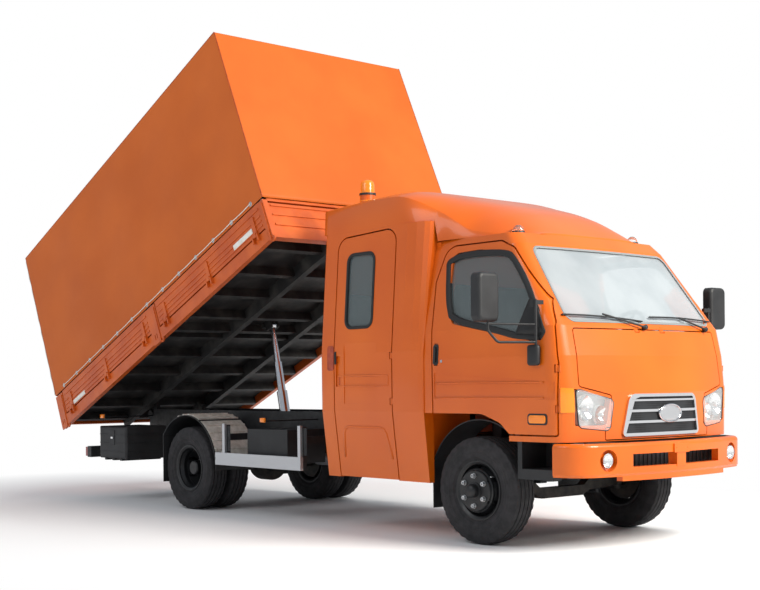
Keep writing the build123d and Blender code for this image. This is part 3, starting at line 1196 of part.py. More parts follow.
HEADBOARD_U = (4068, 4110)
with BuildPart(BED) as headboard:
    block(HEADBOARD_U, (-BED_HALF + RAIL_DEPTH + SEAT_GAP, BED_HALF - RAIL_DEPTH - SEAT_GAP),
          (RAIL_V + SEAT_GAP, 354))
    for low, high in ((130, 150), (230, 245), (320, 335)):
        block((HEADBOARD_U[1] - 1, HEADBOARD_U[1] + 10), (-BED_HALF + 80, BED_HALF - 80), (low, high))

# Drop boards: name, from u, to u
BOARDS = (("rear", 24, 1976), ("front", 2154, 4051))
BOARD_OUT = BED_HALF - 5
hinge_y = BED_HALF + HINGE_OUT
HINGES = ((193, 1031, 1864), (2305, 3120, 3920))
HINGE_PIN = 6
HINGE_EYE = 13
for (name, low, high), hinges in zip(BOARDS, HINGES):
    with BuildPart(BED) as board:
        block((low, high), (-BOARD_OUT, -BOARD_OUT + BOARD_THICKNESS), (BOARD_BOTTOM, BOARD_TOP))
        for v in (170, 215, 262, 330):
            block((low + 20, high - 20), (-BOARD_OUT - 6, -BOARD_OUT + 1), (v - 8, v + 8))
        for u in hinges:
            block((u - 22, u + 22), (-BOARD_OUT - 14, -BOARD_OUT + 2), (BOARD_BOTTOM, 300))
            block((u - 22, u + 22), (-hinge_y - 8, -BOARD_OUT + 2), (HINGE_V + 9, BOARD_BOTTOM + 12))
            rod((u - 22, -hinge_y, HINGE_V + 4), (u + 22, -hinge_y, HINGE_V + 4), HINGE_EYE)
            rod((u - 23, -hinge_y, HINGE_V + 4), (u + 23, -hinge_y, HINGE_V + 4), HINGE_PIN + SEAT_GAP,
                mode=Mode.SUBTRACT)
    save(board, f"board_{name}_right")
    with BuildPart() as board_left:
        mirror(board.part, about=Plane.XZ)
    save(board_left, f"board_{name}_left")

tail_hinges = (-850, 0, 850)
TAIL_U = -20
with BuildPart(BED) as tailgate:
    block((TAIL_U, TAIL_U + BOARD_THICKNESS), (-BED_HALF + RAIL_DEPTH + 6, BED_HALF - RAIL_DEPTH - 6),
          (BOARD_BOTTOM, BOARD_TOP))
    for y in tail_hinges:
        block((TAIL_U - 14, TAIL_U + 2), (y - 22, y + 22), (BOARD_BOTTOM, 300))
        rod((TAIL_U - HINGE_OUT, y - 22, HINGE_V + 4), (TAIL_U - HINGE_OUT, y + 22, HINGE_V + 4), HINGE_EYE)
        block((TAIL_U - HINGE_OUT - 8, TAIL_U + 2), (y - 22, y + 22), (HINGE_V + 9, BOARD_BOTTOM + 12))
        rod((TAIL_U - HINGE_OUT, y - 23, HINGE_V + 4), (TAIL_U - HINGE_OUT, y + 23, HINGE_V + 4),
            HINGE_PIN + SEAT_GAP,
            mode=Mode.SUBTRACT)

# hinge lugs and pins on the rails
with BuildPart(BED) as rail_hinges:
    for side in (-1, 1):
        for hinges in HINGES:
            for u in hinges:
                rod((u - 44, side * hinge_y, HINGE_V + 4), (u + 44, side * hinge_y, HINGE_V + 4), HINGE_PIN)
                for end in (-1, 1):
                    block((u + end * 28, u + end * 44), (side * (BED_HALF - 2), side * (hinge_y + 10)),
                          (60, HINGE_V + 12))
    for y in tail_hinges:
        rod((TAIL_U - HINGE_OUT, y - 44, HINGE_V + 4), (TAIL_U - HINGE_OUT, y + 44, HINGE_V + 4), HINGE_PIN)
        for end in (-1, 1):
            block((TAIL_U - HINGE_OUT - 15, TAIL_U + 2), (y + end * 28, y + end * 44), (60, HINGE_V + 12))

HEM_V = BOARD_TOP + 10
HOOPS = ((-78, POST_TOP), (993, HEM_V + 20), (2065, POST_TOP), (3078, HEM_V + 20), (4088, POST_TOP))
HOOP_TUBE = 14
LONG_BARS = (HEM_V + 20, 960, 1550)
frame_half = BED_HALF - RAIL_DEPTH / 2
hoop_top = TARP_TOP - TARP_SKIN - SEAT_GAP - HOOP_TUBE
LATH = 11
lath_y = frame_half - HOOP_TUBE - LATH - SEAT_GAP
lath_v = hoop_top - HOOP_TUBE - LATH - SEAT_GAP
with BuildPart(BED) as tarp_frame:
    # uprights in the posts, roof bars on their tops, laths inside the uprights and under the roof bars
    for u, foot in HOOPS:
        for side in (-1, 1):
            rod((u, side * frame_half, foot + SEAT_GAP),
                (u, side * frame_half, hoop_top - HOOP_TUBE - SEAT_GAP), HOOP_TUBE)
        rod((u, -frame_half - HOOP_TUBE, hoop_top), (u, frame_half + HOOP_TUBE, hoop_top), HOOP_TUBE)
    for side in (-1, 1):
        for v in LONG_BARS:
            rod((HOOPS[0][0], side * lath_y, v), (HOOPS[-1][0], side * lath_y, v), LATH)
    for y in (-frame_half / 2, 0, frame_half / 2):
        rod((HOOPS[0][0], y, lath_v), (HOOPS[-1][0], y, lath_v), LATH)

with BuildPart(BED) as tarp_cover:
    block((-BED_TAIL, BED_LENGTH + 10), (-BED_HALF, BED_HALF), (HEM_V, TARP_TOP))
    block((-BED_TAIL + TARP_SKIN, BED_LENGTH + 10 - TARP_SKIN), (-BED_HALF + TARP_SKIN, BED_HALF - TARP_SKIN),
          (HEM_V - 10, TARP_TOP - TARP_SKIN), mode=Mode.SUBTRACT)

with BuildPart() as bed_rails_all:
    add(bed_rails.part)
    add(rail_hinges.part)

# ---------------------------------------------------------------- write the pieces
with BuildPart() as steps_all:
    add(steps.part)
    add(arch_liners.part)

for piece, node in (
    (chassis_frame, "chassis_frame"),
    (subframe, "subframe"),
    (front_axle, "front_axle"),
    (rear_axle, "rear_axle"),
    (leaf_springs, "leaf_springs"),
    (powertrain, "powertrain"),
    (exhaust, "exhaust"),
    (fuel_tank, "fuel_tank"),
    (service_boxes, "service_boxes"),
    (rear_fenders, "rear_fenders"),
    (side_guards, "side_guards"),
    (cab_shell, "cab_shell"),
    (front_panel, "front_panel"),
    (windscreen, "windscreen"),
    (whole_grille, "grille"),
    (front_lamps, "front_lamps"),
    (amber_lamps, "amber_lamps"),
    (tail_lamps, "tail_lamps"),
    (bumper, "bumper"),
    (steps_all, "steps"),
    (crew_module, "crew_module"),
    (roof_fairing, "roof_fairing"),
    (dashboard, "dashboard"),
    (seats, "seats"),
    (knuckle_right, "knuckle_right"),
    (tie_rod, "tie_rod"),
    (cylinder_barrel, "cylinder_barrel"),
    (bed_frame, "bed_frame"),
    (bed_rails_all, "bed_rails"),
    (headboard, "headboard"),
    (tailgate, "tailgate"),
    (tarp_frame, "tarp_frame"),
    (tarp_cover, "tarp_cover"),
):
    save(piece, node)

for right, node in (
    (knuckle_right, "knuckle"),
    (door_front_right, "door_front"),
    (door_glass_right, "door_glass"),
    (door_trim_right, "door_trim"),
    (crew_door_right, "crew_door"),
    (crew_glass_right, "crew_glass"),
):
    save(right, f"{node}_right")
    with BuildPart() as left:
        mirror(right.part, about=Plane.XZ)
    save(left, f"{node}_left")
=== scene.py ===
import json
from functools import partial
from math import atan2, cos, hypot, pi, radians, sin, sqrt, tan

import bmesh
import bpy
from mathutils import Matrix, Vector


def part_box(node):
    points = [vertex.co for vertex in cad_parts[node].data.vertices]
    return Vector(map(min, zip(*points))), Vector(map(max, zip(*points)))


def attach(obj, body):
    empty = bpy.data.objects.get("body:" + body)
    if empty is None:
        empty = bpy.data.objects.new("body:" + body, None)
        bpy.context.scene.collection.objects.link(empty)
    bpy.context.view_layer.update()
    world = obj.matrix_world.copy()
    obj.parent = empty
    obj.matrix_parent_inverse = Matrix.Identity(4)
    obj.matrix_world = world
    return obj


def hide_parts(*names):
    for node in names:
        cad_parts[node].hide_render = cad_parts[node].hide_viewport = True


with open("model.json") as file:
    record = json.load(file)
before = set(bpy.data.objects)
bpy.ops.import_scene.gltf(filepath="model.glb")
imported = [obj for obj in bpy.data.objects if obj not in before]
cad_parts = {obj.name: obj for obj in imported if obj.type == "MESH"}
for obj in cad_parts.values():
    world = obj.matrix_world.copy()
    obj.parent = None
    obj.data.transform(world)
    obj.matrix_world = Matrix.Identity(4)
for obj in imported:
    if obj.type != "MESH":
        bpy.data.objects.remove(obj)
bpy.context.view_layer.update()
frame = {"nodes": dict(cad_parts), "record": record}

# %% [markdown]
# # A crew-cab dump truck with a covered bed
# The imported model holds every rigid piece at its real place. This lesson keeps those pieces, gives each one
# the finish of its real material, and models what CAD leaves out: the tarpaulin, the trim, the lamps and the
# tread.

NODES = frame["nodes"]
MM = 0.001

# %% [markdown]
# ## Stations
# The truck's own places are counted from its front axle, so the first step finds that axle. The bed has a
# frame of its own: u runs forward along its rail and v up from its lower edge, tilted as the bed stands. A
# piece of the bed is drawn level in that frame and then put in place by one matrix.

# %% Stations and the bed's own frame
tyre_low, tyre_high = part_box("front_tyre_right")
AXLE_X = (tyre_low.x + tyre_high.x) / 2
AXLE_Z = (tyre_low.z + tyre_high.z) / 2
WHEELBASE = 3.81
BED_TILT = radians(24.05)
PIVOT = Vector((AXLE_X - WHEELBASE - 1.668, 0, 0.889))  # the pin at the frame's rear end that the bed tips on
PIVOT_UV = (0.452, -0.101)  # the same pin in the bed's own frame
U_AXIS = Vector((cos(BED_TILT), 0, sin(BED_TILT)))
V_AXIS = Vector((-sin(BED_TILT), 0, cos(BED_TILT)))
BED_ORIGIN = PIVOT - U_AXIS * PIVOT_UV[0] - V_AXIS * PIVOT_UV[1]
BED_MATRIX = Matrix.Translation(BED_ORIGIN) @ Matrix.Rotation(-BED_TILT, 4, "Y")
HANDS = (("right", -1), ("left", 1))
print("front axle at x", round(AXLE_X, 4), "bed corner", BED_ORIGIN)

# %% [markdown]
# ## Camera
# The camera stands low, ahead of the truck's right side. Turning it up would make the upright edges lean
# together, so it looks almost level, and a shift of its sensor keeps the horizon low in the image.

# %% Camera
VIEW_AZIMUTH = radians(51.668)
VIEW_HEIGHT = radians(0.352)
VIEW_ROLL = radians(-0.606)
VIEW_FROM = (6.506, -7.707, 1.189)  # counted from the front axle, on the ground
FOCAL_PIXELS = 1260.25
IMAGE_SIZE = (760, 590)
PRINCIPAL = (302.0, 393.6)
SENSOR = 36.0

back = Vector((sin(VIEW_AZIMUTH) * cos(VIEW_HEIGHT), -cos(VIEW_AZIMUTH) * cos(VIEW_HEIGHT), sin(VIEW_HEIGHT)))
right = Vector((cos(VIEW_AZIMUTH), sin(VIEW_AZIMUTH), 0))
up = back.cross(right)
right_rolled = right * cos(VIEW_ROLL) + up * sin(VIEW_ROLL)
up_rolled = up * cos(VIEW_ROLL) - right * sin(VIEW_ROLL)
camera_data = bpy.data.cameras.new("camera")
camera_data.sensor_width = SENSOR
camera_data.lens = FOCAL_PIXELS / IMAGE_SIZE[0] * SENSOR
camera_data.shift_x = (IMAGE_SIZE[0] / 2 - PRINCIPAL[0]) / IMAGE_SIZE[0]
camera_data.shift_y = (PRINCIPAL[1] - IMAGE_SIZE[1] / 2) / IMAGE_SIZE[0]
camera = bpy.data.objects.new("camera", camera_data)
bpy.context.scene.collection.objects.link(camera)
facing = Matrix((right_rolled, up_rolled, back)).transposed().to_4x4()
camera.matrix_world = Matrix.Translation(Vector(VIEW_FROM) + Vector((AXLE_X, 0, 0))) @ facing
bpy.context.scene.camera = camera
bpy.context.scene.view_settings.view_transform = "Standard"
print("camera lens in mm", round(camera_data.lens, 2))

# %% [markdown]
# ## Light
# In a studio the main light is a large soft box. Here a warm one high ahead of the truck leads, a weaker one
# stands on the camera's side, and a third fills the far side. A lamp close to a grazing line of sight would
# burn a white streak into the roof's clear coat, so the third isn't seen by mirror rays.

# %% Lamps
LAMPS = (  # name, place, point it looks at, size, power in watts, colour
    ("front_light", (11.5, 1.8, 7.5), (0.5, 0, 1.4), 4.5, 2100, (1.0, 0.96, 0.88)),
    ("side_light", (1.5, -11.0, 8.5), (0, 0, 1.2), 6.0, 340, (1, 1, 1)),
    ("far_light", (-5.0, 8.0, 7.0), (0, 0, 1.5), 6.0, 250, (1, 1, 1)),
)
for name, stand, aim, size, power, colour in LAMPS:
    data = bpy.data.lights.new(name, "AREA")
    data.energy = power
    data.color = colour
    data.size = size
    lamp = bpy.data.objects.new(name, data)
    bpy.context.scene.collection.objects.link(lamp)
    facing = (Vector(aim) - Vector(stand)).to_track_quat("-Z", "Y").to_matrix().to_4x4()
    lamp.matrix_world = Matrix.Translation(stand) @ facing
    lamp.visible_glossy = name != "far_light"
    print(name, power, "W")

# %% [markdown]
# A pale world lights the rest. One colour for every ray would do, but a white world mirrored in the roof
# would melt its edge into the background. So camera and transmission rays see plain white, while paint and
# chrome mirror a softer grey. One small function adds each node with its settings and its links.

# %% World
SHEEN = ((0.80, 0.86, 0.95, 1), 0.55)  # colour and strength that glossy rays see
FILL = ((0.93, 0.96, 1.0, 1), 0.42)
PLAIN = ((1, 1, 1, 1), 1.0)


def node(tree, kind, settings=(), links=()):
    """Adds a node: settings are (name or input, value) pairs, links are (output socket, input name) pairs."""
    made = tree.nodes.new(kind)
    for name, value in settings:
        if isinstance(name, str) and hasattr(made, name):
            setattr(made, name, value)
        else:
            made.inputs[name].default_value = value
    for socket, name in links:
        tree.links.new(socket, made.inputs[name])
    return made


world = bpy.data.worlds.new("plain_world")
bpy.context.scene.world = world
world.use_nodes = True
tree = world.node_tree
tree.nodes.clear()
rays = node(tree, "ShaderNodeLightPath")
seen = node(tree, "ShaderNodeMath", [("operation", "MAXIMUM")],
            [(rays.outputs["Is Camera Ray"], 0), (rays.outputs["Is Transmission Ray"], 1)])
sheen, fill, white = [node(tree, "ShaderNodeBackground", [("Color", colour), ("Strength", strength)])
                      for colour, strength in (SHEEN, FILL, PLAIN)]
lit = node(tree, "ShaderNodeMixShader", (),
           [(rays.outputs["Is Glossy Ray"], 0), (fill.outputs[0], 1), (sheen.outputs[0], 2)])
mixed = node(tree, "ShaderNodeMixShader", (),
             [(seen.outputs[0], 0), (lit.outputs[0], 1), (white.outputs[0], 2)])
node(tree, "ShaderNodeOutputWorld", (), [(mixed.outputs[0], "Surface")])
print("world nodes", len(tree.nodes))

# %% [markdown]
# The truck stands on a studio floor. One large square is enough, and it belongs to the stage and not to
# the truck.

# %% Floor
FLOOR_SIZE = 400.0
mesh = bpy.data.meshes.new("floor")
floor = bpy.data.objects.new("floor", mesh)
shape = bmesh.new()
bmesh.ops.create_grid(shape, x_segments=1, y_segments=1, size=FLOOR_SIZE / 2)
shape.to_mesh(mesh)
shape.free()
bpy.context.scene.collection.objects.link(floor)
print("floor", FLOOR_SIZE, "m across")

# %% [markdown]
# ## Finishes
# Every finish starts from the real material and how it was made. Colours are written as sRGB hex values and
# one function turns them to linear, which is what the shaders work in.

# %% Colours
def linear(code):
    """A linear RGBA colour from an sRGB hex value."""
    parts = [int(code[i:i + 2], 16) / 255 for i in (1, 3, 5)]
    return tuple(c / 12.92 if c <= 0.04045 else ((c + 0.055) / 1.055) ** 2.4 for c in parts) + (1.0,)


def set_tones(made, low, high, start, end):
    """Sets a colour ramp between two sRGB values."""
    for stop, at, code in zip(made.color_ramp.elements, (start, end), (low, high)):
        stop.position = at
        stop.color = linear(code)


print("mid grey is", round(linear("#808080")[0], 3), "in linear light")

# %% [markdown]
# A surface is never quite even, so most finishes carry up to three noises, each scaled from a real size in
# millimetres: tones shade the colour, gloss varies the roughness and grain raises the surface. Ribs, weaves
# and braids are even bands. An image could do this too, but a pattern in object coordinates needs no
# unwrapping and keeps its size on every piece.

# %% The builder of finishes
WAVE_UNIT = pi / 10  # a wave texture of scale 1 draws one band in this length
TONE_SPAN = (0.35, 0.65)  # the part of a noise over which its colour or its roughness changes
GLOSS_SPAN = (0.3, 0.7)


def finish(name, colour, rough, tones=None, gloss=None, grain=None, bands=None, stretch=(1, 1, 1),
           **settings):
    """A new material with one shader.

    tones: (mm, detail, low colour, high colour, start and end of the span, if it isn't the usual one)
    gloss: (mm, detail, low roughness, high roughness)
    grain: (mm, detail, depth in mm, strength)
    bands: (period in mm, directions, turn about Y, depth in mm, strength)
    """
    made = bpy.data.materials.new(name)
    made.use_nodes = True
    tree = made.node_tree
    tree.nodes.clear()
    values = [("Base Color", linear(colour)), ("Roughness", rough)]
    values += [(key.replace("_", " "), value) for key, value in settings.items()]
    shader = node(tree, "ShaderNodeBsdfPrincipled", [("name", "shader"), *values])
    node(tree, "ShaderNodeOutputMaterial", [("name", "surface")], [(shader.outputs[0], "Surface")])
    coords = node(tree, "ShaderNodeTexCoord", [("name", "coordinates")]).outputs["Object"]
    place = node(tree, "ShaderNodeMapping", [("Scale", stretch)], [(coords, "Vector")]).outputs[0]
    patterns = {}
    for use, pattern in (("tones", tones), ("gloss", gloss), ("grain", grain)):
        if pattern:
            size, detail = pattern[:2]
            noise = node(tree, "ShaderNodeTexNoise", [("Scale", 1 / (size * MM)), ("Detail", detail)],
                         [(place, "Vector")])
            patterns[use] = noise.outputs["Fac"]
    if tones:
        shades = node(tree, "ShaderNodeValToRGB", (), [(patterns["tones"], "Fac")])
        set_tones(shades, *tones[2:4], *(tones[4:] or TONE_SPAN))
        tree.links.new(shades.outputs["Color"], shader.inputs["Base Color"])
    if gloss:
        range_of = [("From Min", GLOSS_SPAN[0]), ("From Max", GLOSS_SPAN[1]), ("To Min", gloss[2]),
                    ("To Max", gloss[3])]
        mapped = node(tree, "ShaderNodeMapRange", range_of, [(patterns["gloss"], "Value")])
        tree.links.new(mapped.outputs["Result"], shader.inputs["Roughness"])
    if bands:
        period, directions, turn, depth, strength = bands
        turned = node(tree, "ShaderNodeMapping", [("Rotation", (0, turn, 0))], [(coords, "Vector")])
        waves = [node(tree, "ShaderNodeTexWave",
                      [("Scale", WAVE_UNIT / (period * MM)), ("bands_direction", direction)],
                      [(turned.outputs[0], "Vector")]).outputs["Fac"] for direction in directions]
        top = node(tree, "ShaderNodeMath", [("operation", "MAXIMUM")], [(waves[0], 0), (waves[-1], 1)])
        patterns["grain"] = top.outputs[0]
    elif grain:
        depth, strength = grain[2:]
    if bands or grain:
        bump = node(tree, "ShaderNodeBump", [("Strength", strength), ("Distance", depth * MM)],
                    [(patterns["grain"], "Height")])
        tree.links.new(bump.outputs[0], shader.inputs["Normal"])
    return made


print("band length at scale 1:", round(WAVE_UNIT, 4))

# %% [markdown]
# Coach enamel is sprayed over primer and baked, then clear-coated. The tray is painted by hand with a brush,
# because it is scraped and painted again so often. Black chassis enamel is satin, and dust dulls it in
# patches.

# %% Painted finishes
# Deep and even, with a mirror-like coat over the faint ripple that is called orange peel.
coach_enamel = finish("sprayed_orange_enamel", "#D4600A", 0.36, tones=(900, 2, "#CE5A06", "#DA660E"),
                      grain=(9, 1, 0.12, 0.25), Coat_Weight=0.4, Coat_Roughness=0.06, Specular_IOR_Level=0.35)
# Softer and patchy, with low waves where the sheet was dented and the brush went over it.
tray_enamel = finish("brushed_on_orange_enamel", "#C6560E", 0.42, tones=(260, 5, "#BC4E0C", "#CF5E14"),
                     gloss=(60, 4, 0.34, 0.55), grain=(30, 3, 0.5, 0.3), Coat_Weight=0.2, Coat_Roughness=0.2)
# Satin black that turns grey in patches, over slightly rough rolled steel.
chassis_enamel = finish("satin_black_chassis_enamel", "#17181A", 0.5, tones=(120, 5, "#121315", "#232426"),
                        gloss=(45, 4, 0.38, 0.62), grain=(12, 3, 0.25, 0.4))
# A little shinier than the chassis, with road film that dulls it unevenly.
wheel_enamel = finish("black_wheel_enamel", "#141517", 0.36, gloss=(35, 4, 0.3, 0.5), grain=(8, 2, 0.15, 0.3))
# A flat dark grey for small sheet parts.
dark_enamel = finish("dark_grey_enamel", "#26282B", 0.45, tones=(90, 4, "#1E2023", "#303236"))
print("painted finishes", len(bpy.data.materials))

# %% [markdown]
# Sand-cast iron keeps the grain of its mould, and road dust settles in it. Turned steel is dulled by fine
# rings, and hard chrome on a cylinder rod is ground nearly to a mirror. Every metal keeps the default IOR,
# because its colour and its Metallic value make the reflection.

# %% Metals
# Dark and rough, browned by dust.
cast_iron = finish("sand_cast_iron", "#2B2A29", 0.62, tones=(70, 5, "#1F1E1E", "#3D3833"),
                   grain=(5, 4, 0.5, 0.6), Metallic=0.35)
# Grey with a broken shine, as a lathe tool leaves it.
turned_steel = finish("turned_steel", "#8E8E90", 0.34, gloss=(14, 4, 0.26, 0.46), Metallic=1.0)
# A cool mirror with a thin film of oil.
hard_chrome = finish("ground_hard_chrome", "#C9CACC", 0.12, gloss=(20, 3, 0.08, 0.2), Metallic=1.0)
# The clearest mirror on the truck.
bright_chrome = finish("plated_bright_chrome", "#D8D9DB", 0.07, gloss=(40, 3, 0.05, 0.12), Metallic=1.0)
# Soft streaks along the way it was drawn. The die's real lines are finer than 0.5 mm, too fine to show.
extruded_aluminium = finish("extruded_aluminium", "#C3C5C8", 0.38, gloss=(3, 3, 0.3, 0.5),
                            grain=(2.5, 2, 0.08, 0.4), stretch=(0.02, 1, 1), Metallic=0.85)
# Pale spangled grey.
zinc_plate = finish("zinc_plated_steel", "#B9BBBD", 0.36, tones=(18, 4, "#A6A8AA", "#C9CBCD"), Metallic=0.9)
print("with metals", len(bpy.data.materials))

# %% [markdown]
# Tyre rubber is dull, and slightly brown where dust sticks. Seals are extruded from softer rubber. Moulded
# polypropylene takes a fine leather-like grain from its mould.

# %% Rubber and plastics
# Almost black and matt, with no clear highlight.
tyre_rubber = finish("vulcanised_tyre_rubber", "#1B1B1D", 0.78, tones=(50, 5, "#161618", "#29272A"),
                     grain=(3, 3, 0.2, 0.5))
# Darker, with a soft line of light along its crown.
seal_rubber = finish("extruded_seal_rubber", "#0E0F10", 0.55, grain=(4, 2, 0.1, 0.3))
# Satin charcoal. The real grain is about 0.8 mm and is drawn at twice that, so that it shows.
grained_plastic = finish("grained_black_polypropylene", "#1A1B1D", 0.55, tones=(150, 4, "#151618", "#212224"),
                         grain=(1.6, 2, 0.12, 0.5))
print("with rubber and plastics", len(bpy.data.materials))

# %% [markdown]
# Window glass is tinted green-grey and lets the seats show through. Full refraction would cost light and
# bring nothing behind a flat pane, so panes are half clear by Alpha, and only solid lenses transmit. Lenses
# are moulded with ribs on the inside.

# %% Glass and lenses
RIB_MM = 11.22  # real ribs stand 3 mm apart, which would not show at this distance
# A grey-green veil over a dark inside, with sharp reflections.
window_glass = finish("tinted_window_glass", "#7C888A", 0.03, gloss=(400, 2, 0.02, 0.05), Alpha=0.36, IOR=1.5)
# Water-clear, slightly wavy.
clear_lens = finish("moulded_clear_polycarbonate", "#F2F4F5", 0.04, grain=(30, 1, 0.2, 0.3),
                    Transmission_Weight=0.9, IOR=1.45)
# Deep amber with a painted glow: a faint emission makes the unlit lens seem to glow in daylight.
amber_lens_painted_glow = finish("moulded_amber_acrylic_painted_glow", "#E77E10", 0.16, bands=(RIB_MM, "Z", 0, 0.6, 0.5),
                    Coat_Weight=0.6, Emission_Strength=0.12, Emission_Color=linear("#FF8A10"))
# Dark red with a glossy face.
red_lens = finish("moulded_red_acrylic", "#8F1512", 0.18, bands=(RIB_MM, "Z", 0, 0.6, 0.5), Coat_Weight=0.6)
print("with glass and lenses", len(bpy.data.materials))

# %% [markdown]
# The cover is polyester cloth with a PVC coating on both sides: a soft sheen, a fine square weave that the
# coating half fills, and a colour that fades unevenly in the sun. The weave is turned with the bed, so that
# its threads run along the cover. The seats are a woven grey cloth.

# %% Cloths
WEAVE_MM = 5.655  # real threads stand 1 mm apart, which would not show at this distance
# Dusty orange with a broad soft highlight.
tarpaulin = finish("pvc_coated_polyester", "#C35E17", 0.55, tones=(700, 5, "#BE5A14", "#C8621A"),
                   bands=(WEAVE_MM, "YZ", BED_TILT, 0.25, 0.25), Specular_IOR_Level=0.35)
# Soft grey with flecks and no shine.
seat_cloth = finish("woven_seat_cloth", "#3A3D42", 0.85, tones=(6, 4, "#2E3136", "#474A50"),
                    grain=(4, 2, 0.5, 0.5), Sheen_Weight=0.3)
print("with cloths", len(bpy.data.materials))

# %% [markdown]
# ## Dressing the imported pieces
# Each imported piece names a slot, and one table gives the finish of that slot. A few pieces differ from their
# slot: the boards carry the tray's brushed paint, and the cylinder's stages are hard chrome.

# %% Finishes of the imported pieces
FINISHES = {
    "body_paint": coach_enamel, "chassis_paint": chassis_enamel, "machined_steel": turned_steel,
    "cast_housing": cast_iron, "wheel_paint": wheel_enamel, "tyre_rubber": tyre_rubber,
    "window_glass": window_glass, "black_plastic": grained_plastic, "lamp_clear": clear_lens,
    "lamp_amber": amber_lens_painted_glow, "lamp_red": red_lens, "chrome_trim": bright_chrome, "tarpaulin": tarpaulin,
    "seat_fabric": seat_cloth, "guard_metal": extruded_aluminium, "dark_metal": dark_enamel,
}
OWN_FINISH = {name: tray_enamel for name in ("bed_rails", "headboard", "tailgate")}
OWN_FINISH.update({f"board_{end}_{hand}": tray_enamel for end in ("front", "rear") for hand, side in HANDS})
OWN_FINISH.update({f"cylinder_stage_{stage}": hard_chrome for stage in (1, 2, 3)})


def dress(piece, material):
    """Gives an object one finish."""
    piece.data.materials.clear()
    piece.data.materials.append(material)


for row in frame["record"]["subparts"]:
    dress(NODES[row["node"]], OWN_FINISH.get(row["node"], FINISHES[row["material_slot"]]))
print("nodes dressed:", len(NODES))

# %% [markdown]
# Near the truck the floor is a matt board that takes its shadow. Further out it fades, by distance in its own
# coordinates, into a plain white that the lamps don't shade, so no horizon shows.

# %% Floor finish
SHADOW_REACH = (4.1, 6.8)
REACH_SCALE = (1, 1.5, 0)  # the shadow reaches further along the truck than across it
# Matt and nearly white, so that the shadow under the truck stays soft and cool.
studio_floor = finish("pale_studio_floor", "#F6F8FB", 0.9, stretch=REACH_SCALE)
tree = studio_floor.node_tree
place = tree.nodes["Mapping"].outputs[0]
distance = node(tree, "ShaderNodeVectorMath", [("operation", "LENGTH")], [(place, 0)])
fade = node(tree, "ShaderNodeMapRange", [("From Min", SHADOW_REACH[0]), ("From Max", SHADOW_REACH[1])],
            [(distance.outputs["Value"], "Value")])
plain = node(tree, "ShaderNodeEmission", [("Color", PLAIN[0]), ("Strength", PLAIN[1])])
board = node(tree, "ShaderNodeMixShader", (),
             [(fade.outputs["Result"], 0), (tree.nodes["shader"].outputs[0], 1), (plain.outputs[0], 2)])
tree.links.new(board.outputs[0], tree.nodes["surface"].inputs["Surface"])
dress(floor, studio_floor)
print("floor fades between", SHADOW_REACH)

# %% [markdown]
# ## Making pieces
# Each new piece is built in a bmesh, put in place there, and then becomes an object that stands at the
# origin, so that its pattern doesn't slide if it is ever exported. A spin or a mirrored copy can turn a shape
# inside out, so the normals are recalculated before the mesh is made.

# %% From a bmesh to a finished piece, and a box with broken edges
def piece_from(shape, name, body, material, smooth=True, matrix=None):
    """A finished object from a bmesh: it rides on a body and takes a finish."""
    if matrix:
        bmesh.ops.transform(shape, matrix=matrix, verts=shape.verts)
    bmesh.ops.recalc_face_normals(shape, faces=shape.faces)
    mesh = bpy.data.meshes.new(name)
    shape.to_mesh(mesh)
    shape.free()
    for face in mesh.polygons:
        face.use_smooth = smooth
    made = bpy.data.objects.new(name, mesh)
    bpy.context.scene.collection.objects.link(made)
    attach(made, body)
    dress(made, material)
    print("made", name, "with", len(mesh.polygons), "faces")
    return made


def bar(shape, one, other, matrix=Matrix(), edge=0.0, segments=2):
    """A box between two opposite corners, with its edges broken."""
    low = Vector([min(pair) for pair in zip(one, other)])
    high = Vector([max(pair) for pair in zip(one, other)])
    sized = Matrix.Translation((low + high) / 2) @ Matrix.Diagonal((*(high - low), 1))
    made = bmesh.ops.create_cube(shape, size=1, matrix=matrix @ sized)["verts"]
    if edge:
        edges = {link for vert in made for link in vert.link_edges}
        bmesh.ops.bevel(shape, geom=list(edges), offset=edge, offset_type="OFFSET", affect="EDGES",
                        segments=segments, profile=0.5, material=-1)

# %% [markdown]
# ## The tarpaulin
# The cover is cut as a cross, welded along its four corners, pulled over the hoops and laced down at its hem.
# A cloth run would take long to settle on so large a sheet and would still need stopping by hand. So it
# starts as a box without a floor, whose edges are rounded and which is then cut into a fine even net.

# %% The cover's box, rounded and cut into a net
BED_HALF = 1.151
TARP_REAR, TARP_FRONT = -0.135, 4.134
HEM_V, TARP_TOP = 0.394, 2.145
FOLD_RADIUS = 0.016
NET = 0.085
ON_FACE = 1e-4  # closer than this to a face of the box counts as on it

shape = bmesh.new()
bar(shape, (TARP_REAR, -BED_HALF, HEM_V), (TARP_FRONT, BED_HALF, TARP_TOP))
bottom = [face for face in shape.faces if face.calc_center_median().z < HEM_V + ON_FACE]
bmesh.ops.delete(shape, geom=bottom, context="FACES_ONLY")
folds = [edge for edge in shape.edges if not edge.is_boundary]
bmesh.ops.bevel(shape, geom=folds, offset=FOLD_RADIUS, offset_type="OFFSET", affect="EDGES", segments=4,
                profile=0.5, material=-1)
for axis, low, high in ((0, TARP_REAR, TARP_FRONT), (1, -BED_HALF, BED_HALF), (2, HEM_V, TARP_TOP)):
    count = round((high - low) / NET)
    normal = Matrix.Identity(3)[axis]
    for step in range(1, count):
        bmesh.ops.bisect_plane(shape, geom=shape.verts[:] + shape.edges[:] + shape.faces[:], dist=1e-5,
                               plane_co=normal * (low + (high - low) * step / count), plane_no=normal)
print("net of the cover", len(shape.verts), "points")

# %% [markdown]
# Every bay between two hoops or bars is drawn in a little, as coated cloth is where nothing carries it. Along
# the hem the lacing pulls small scallops, and folds drag from the corners of both ends.

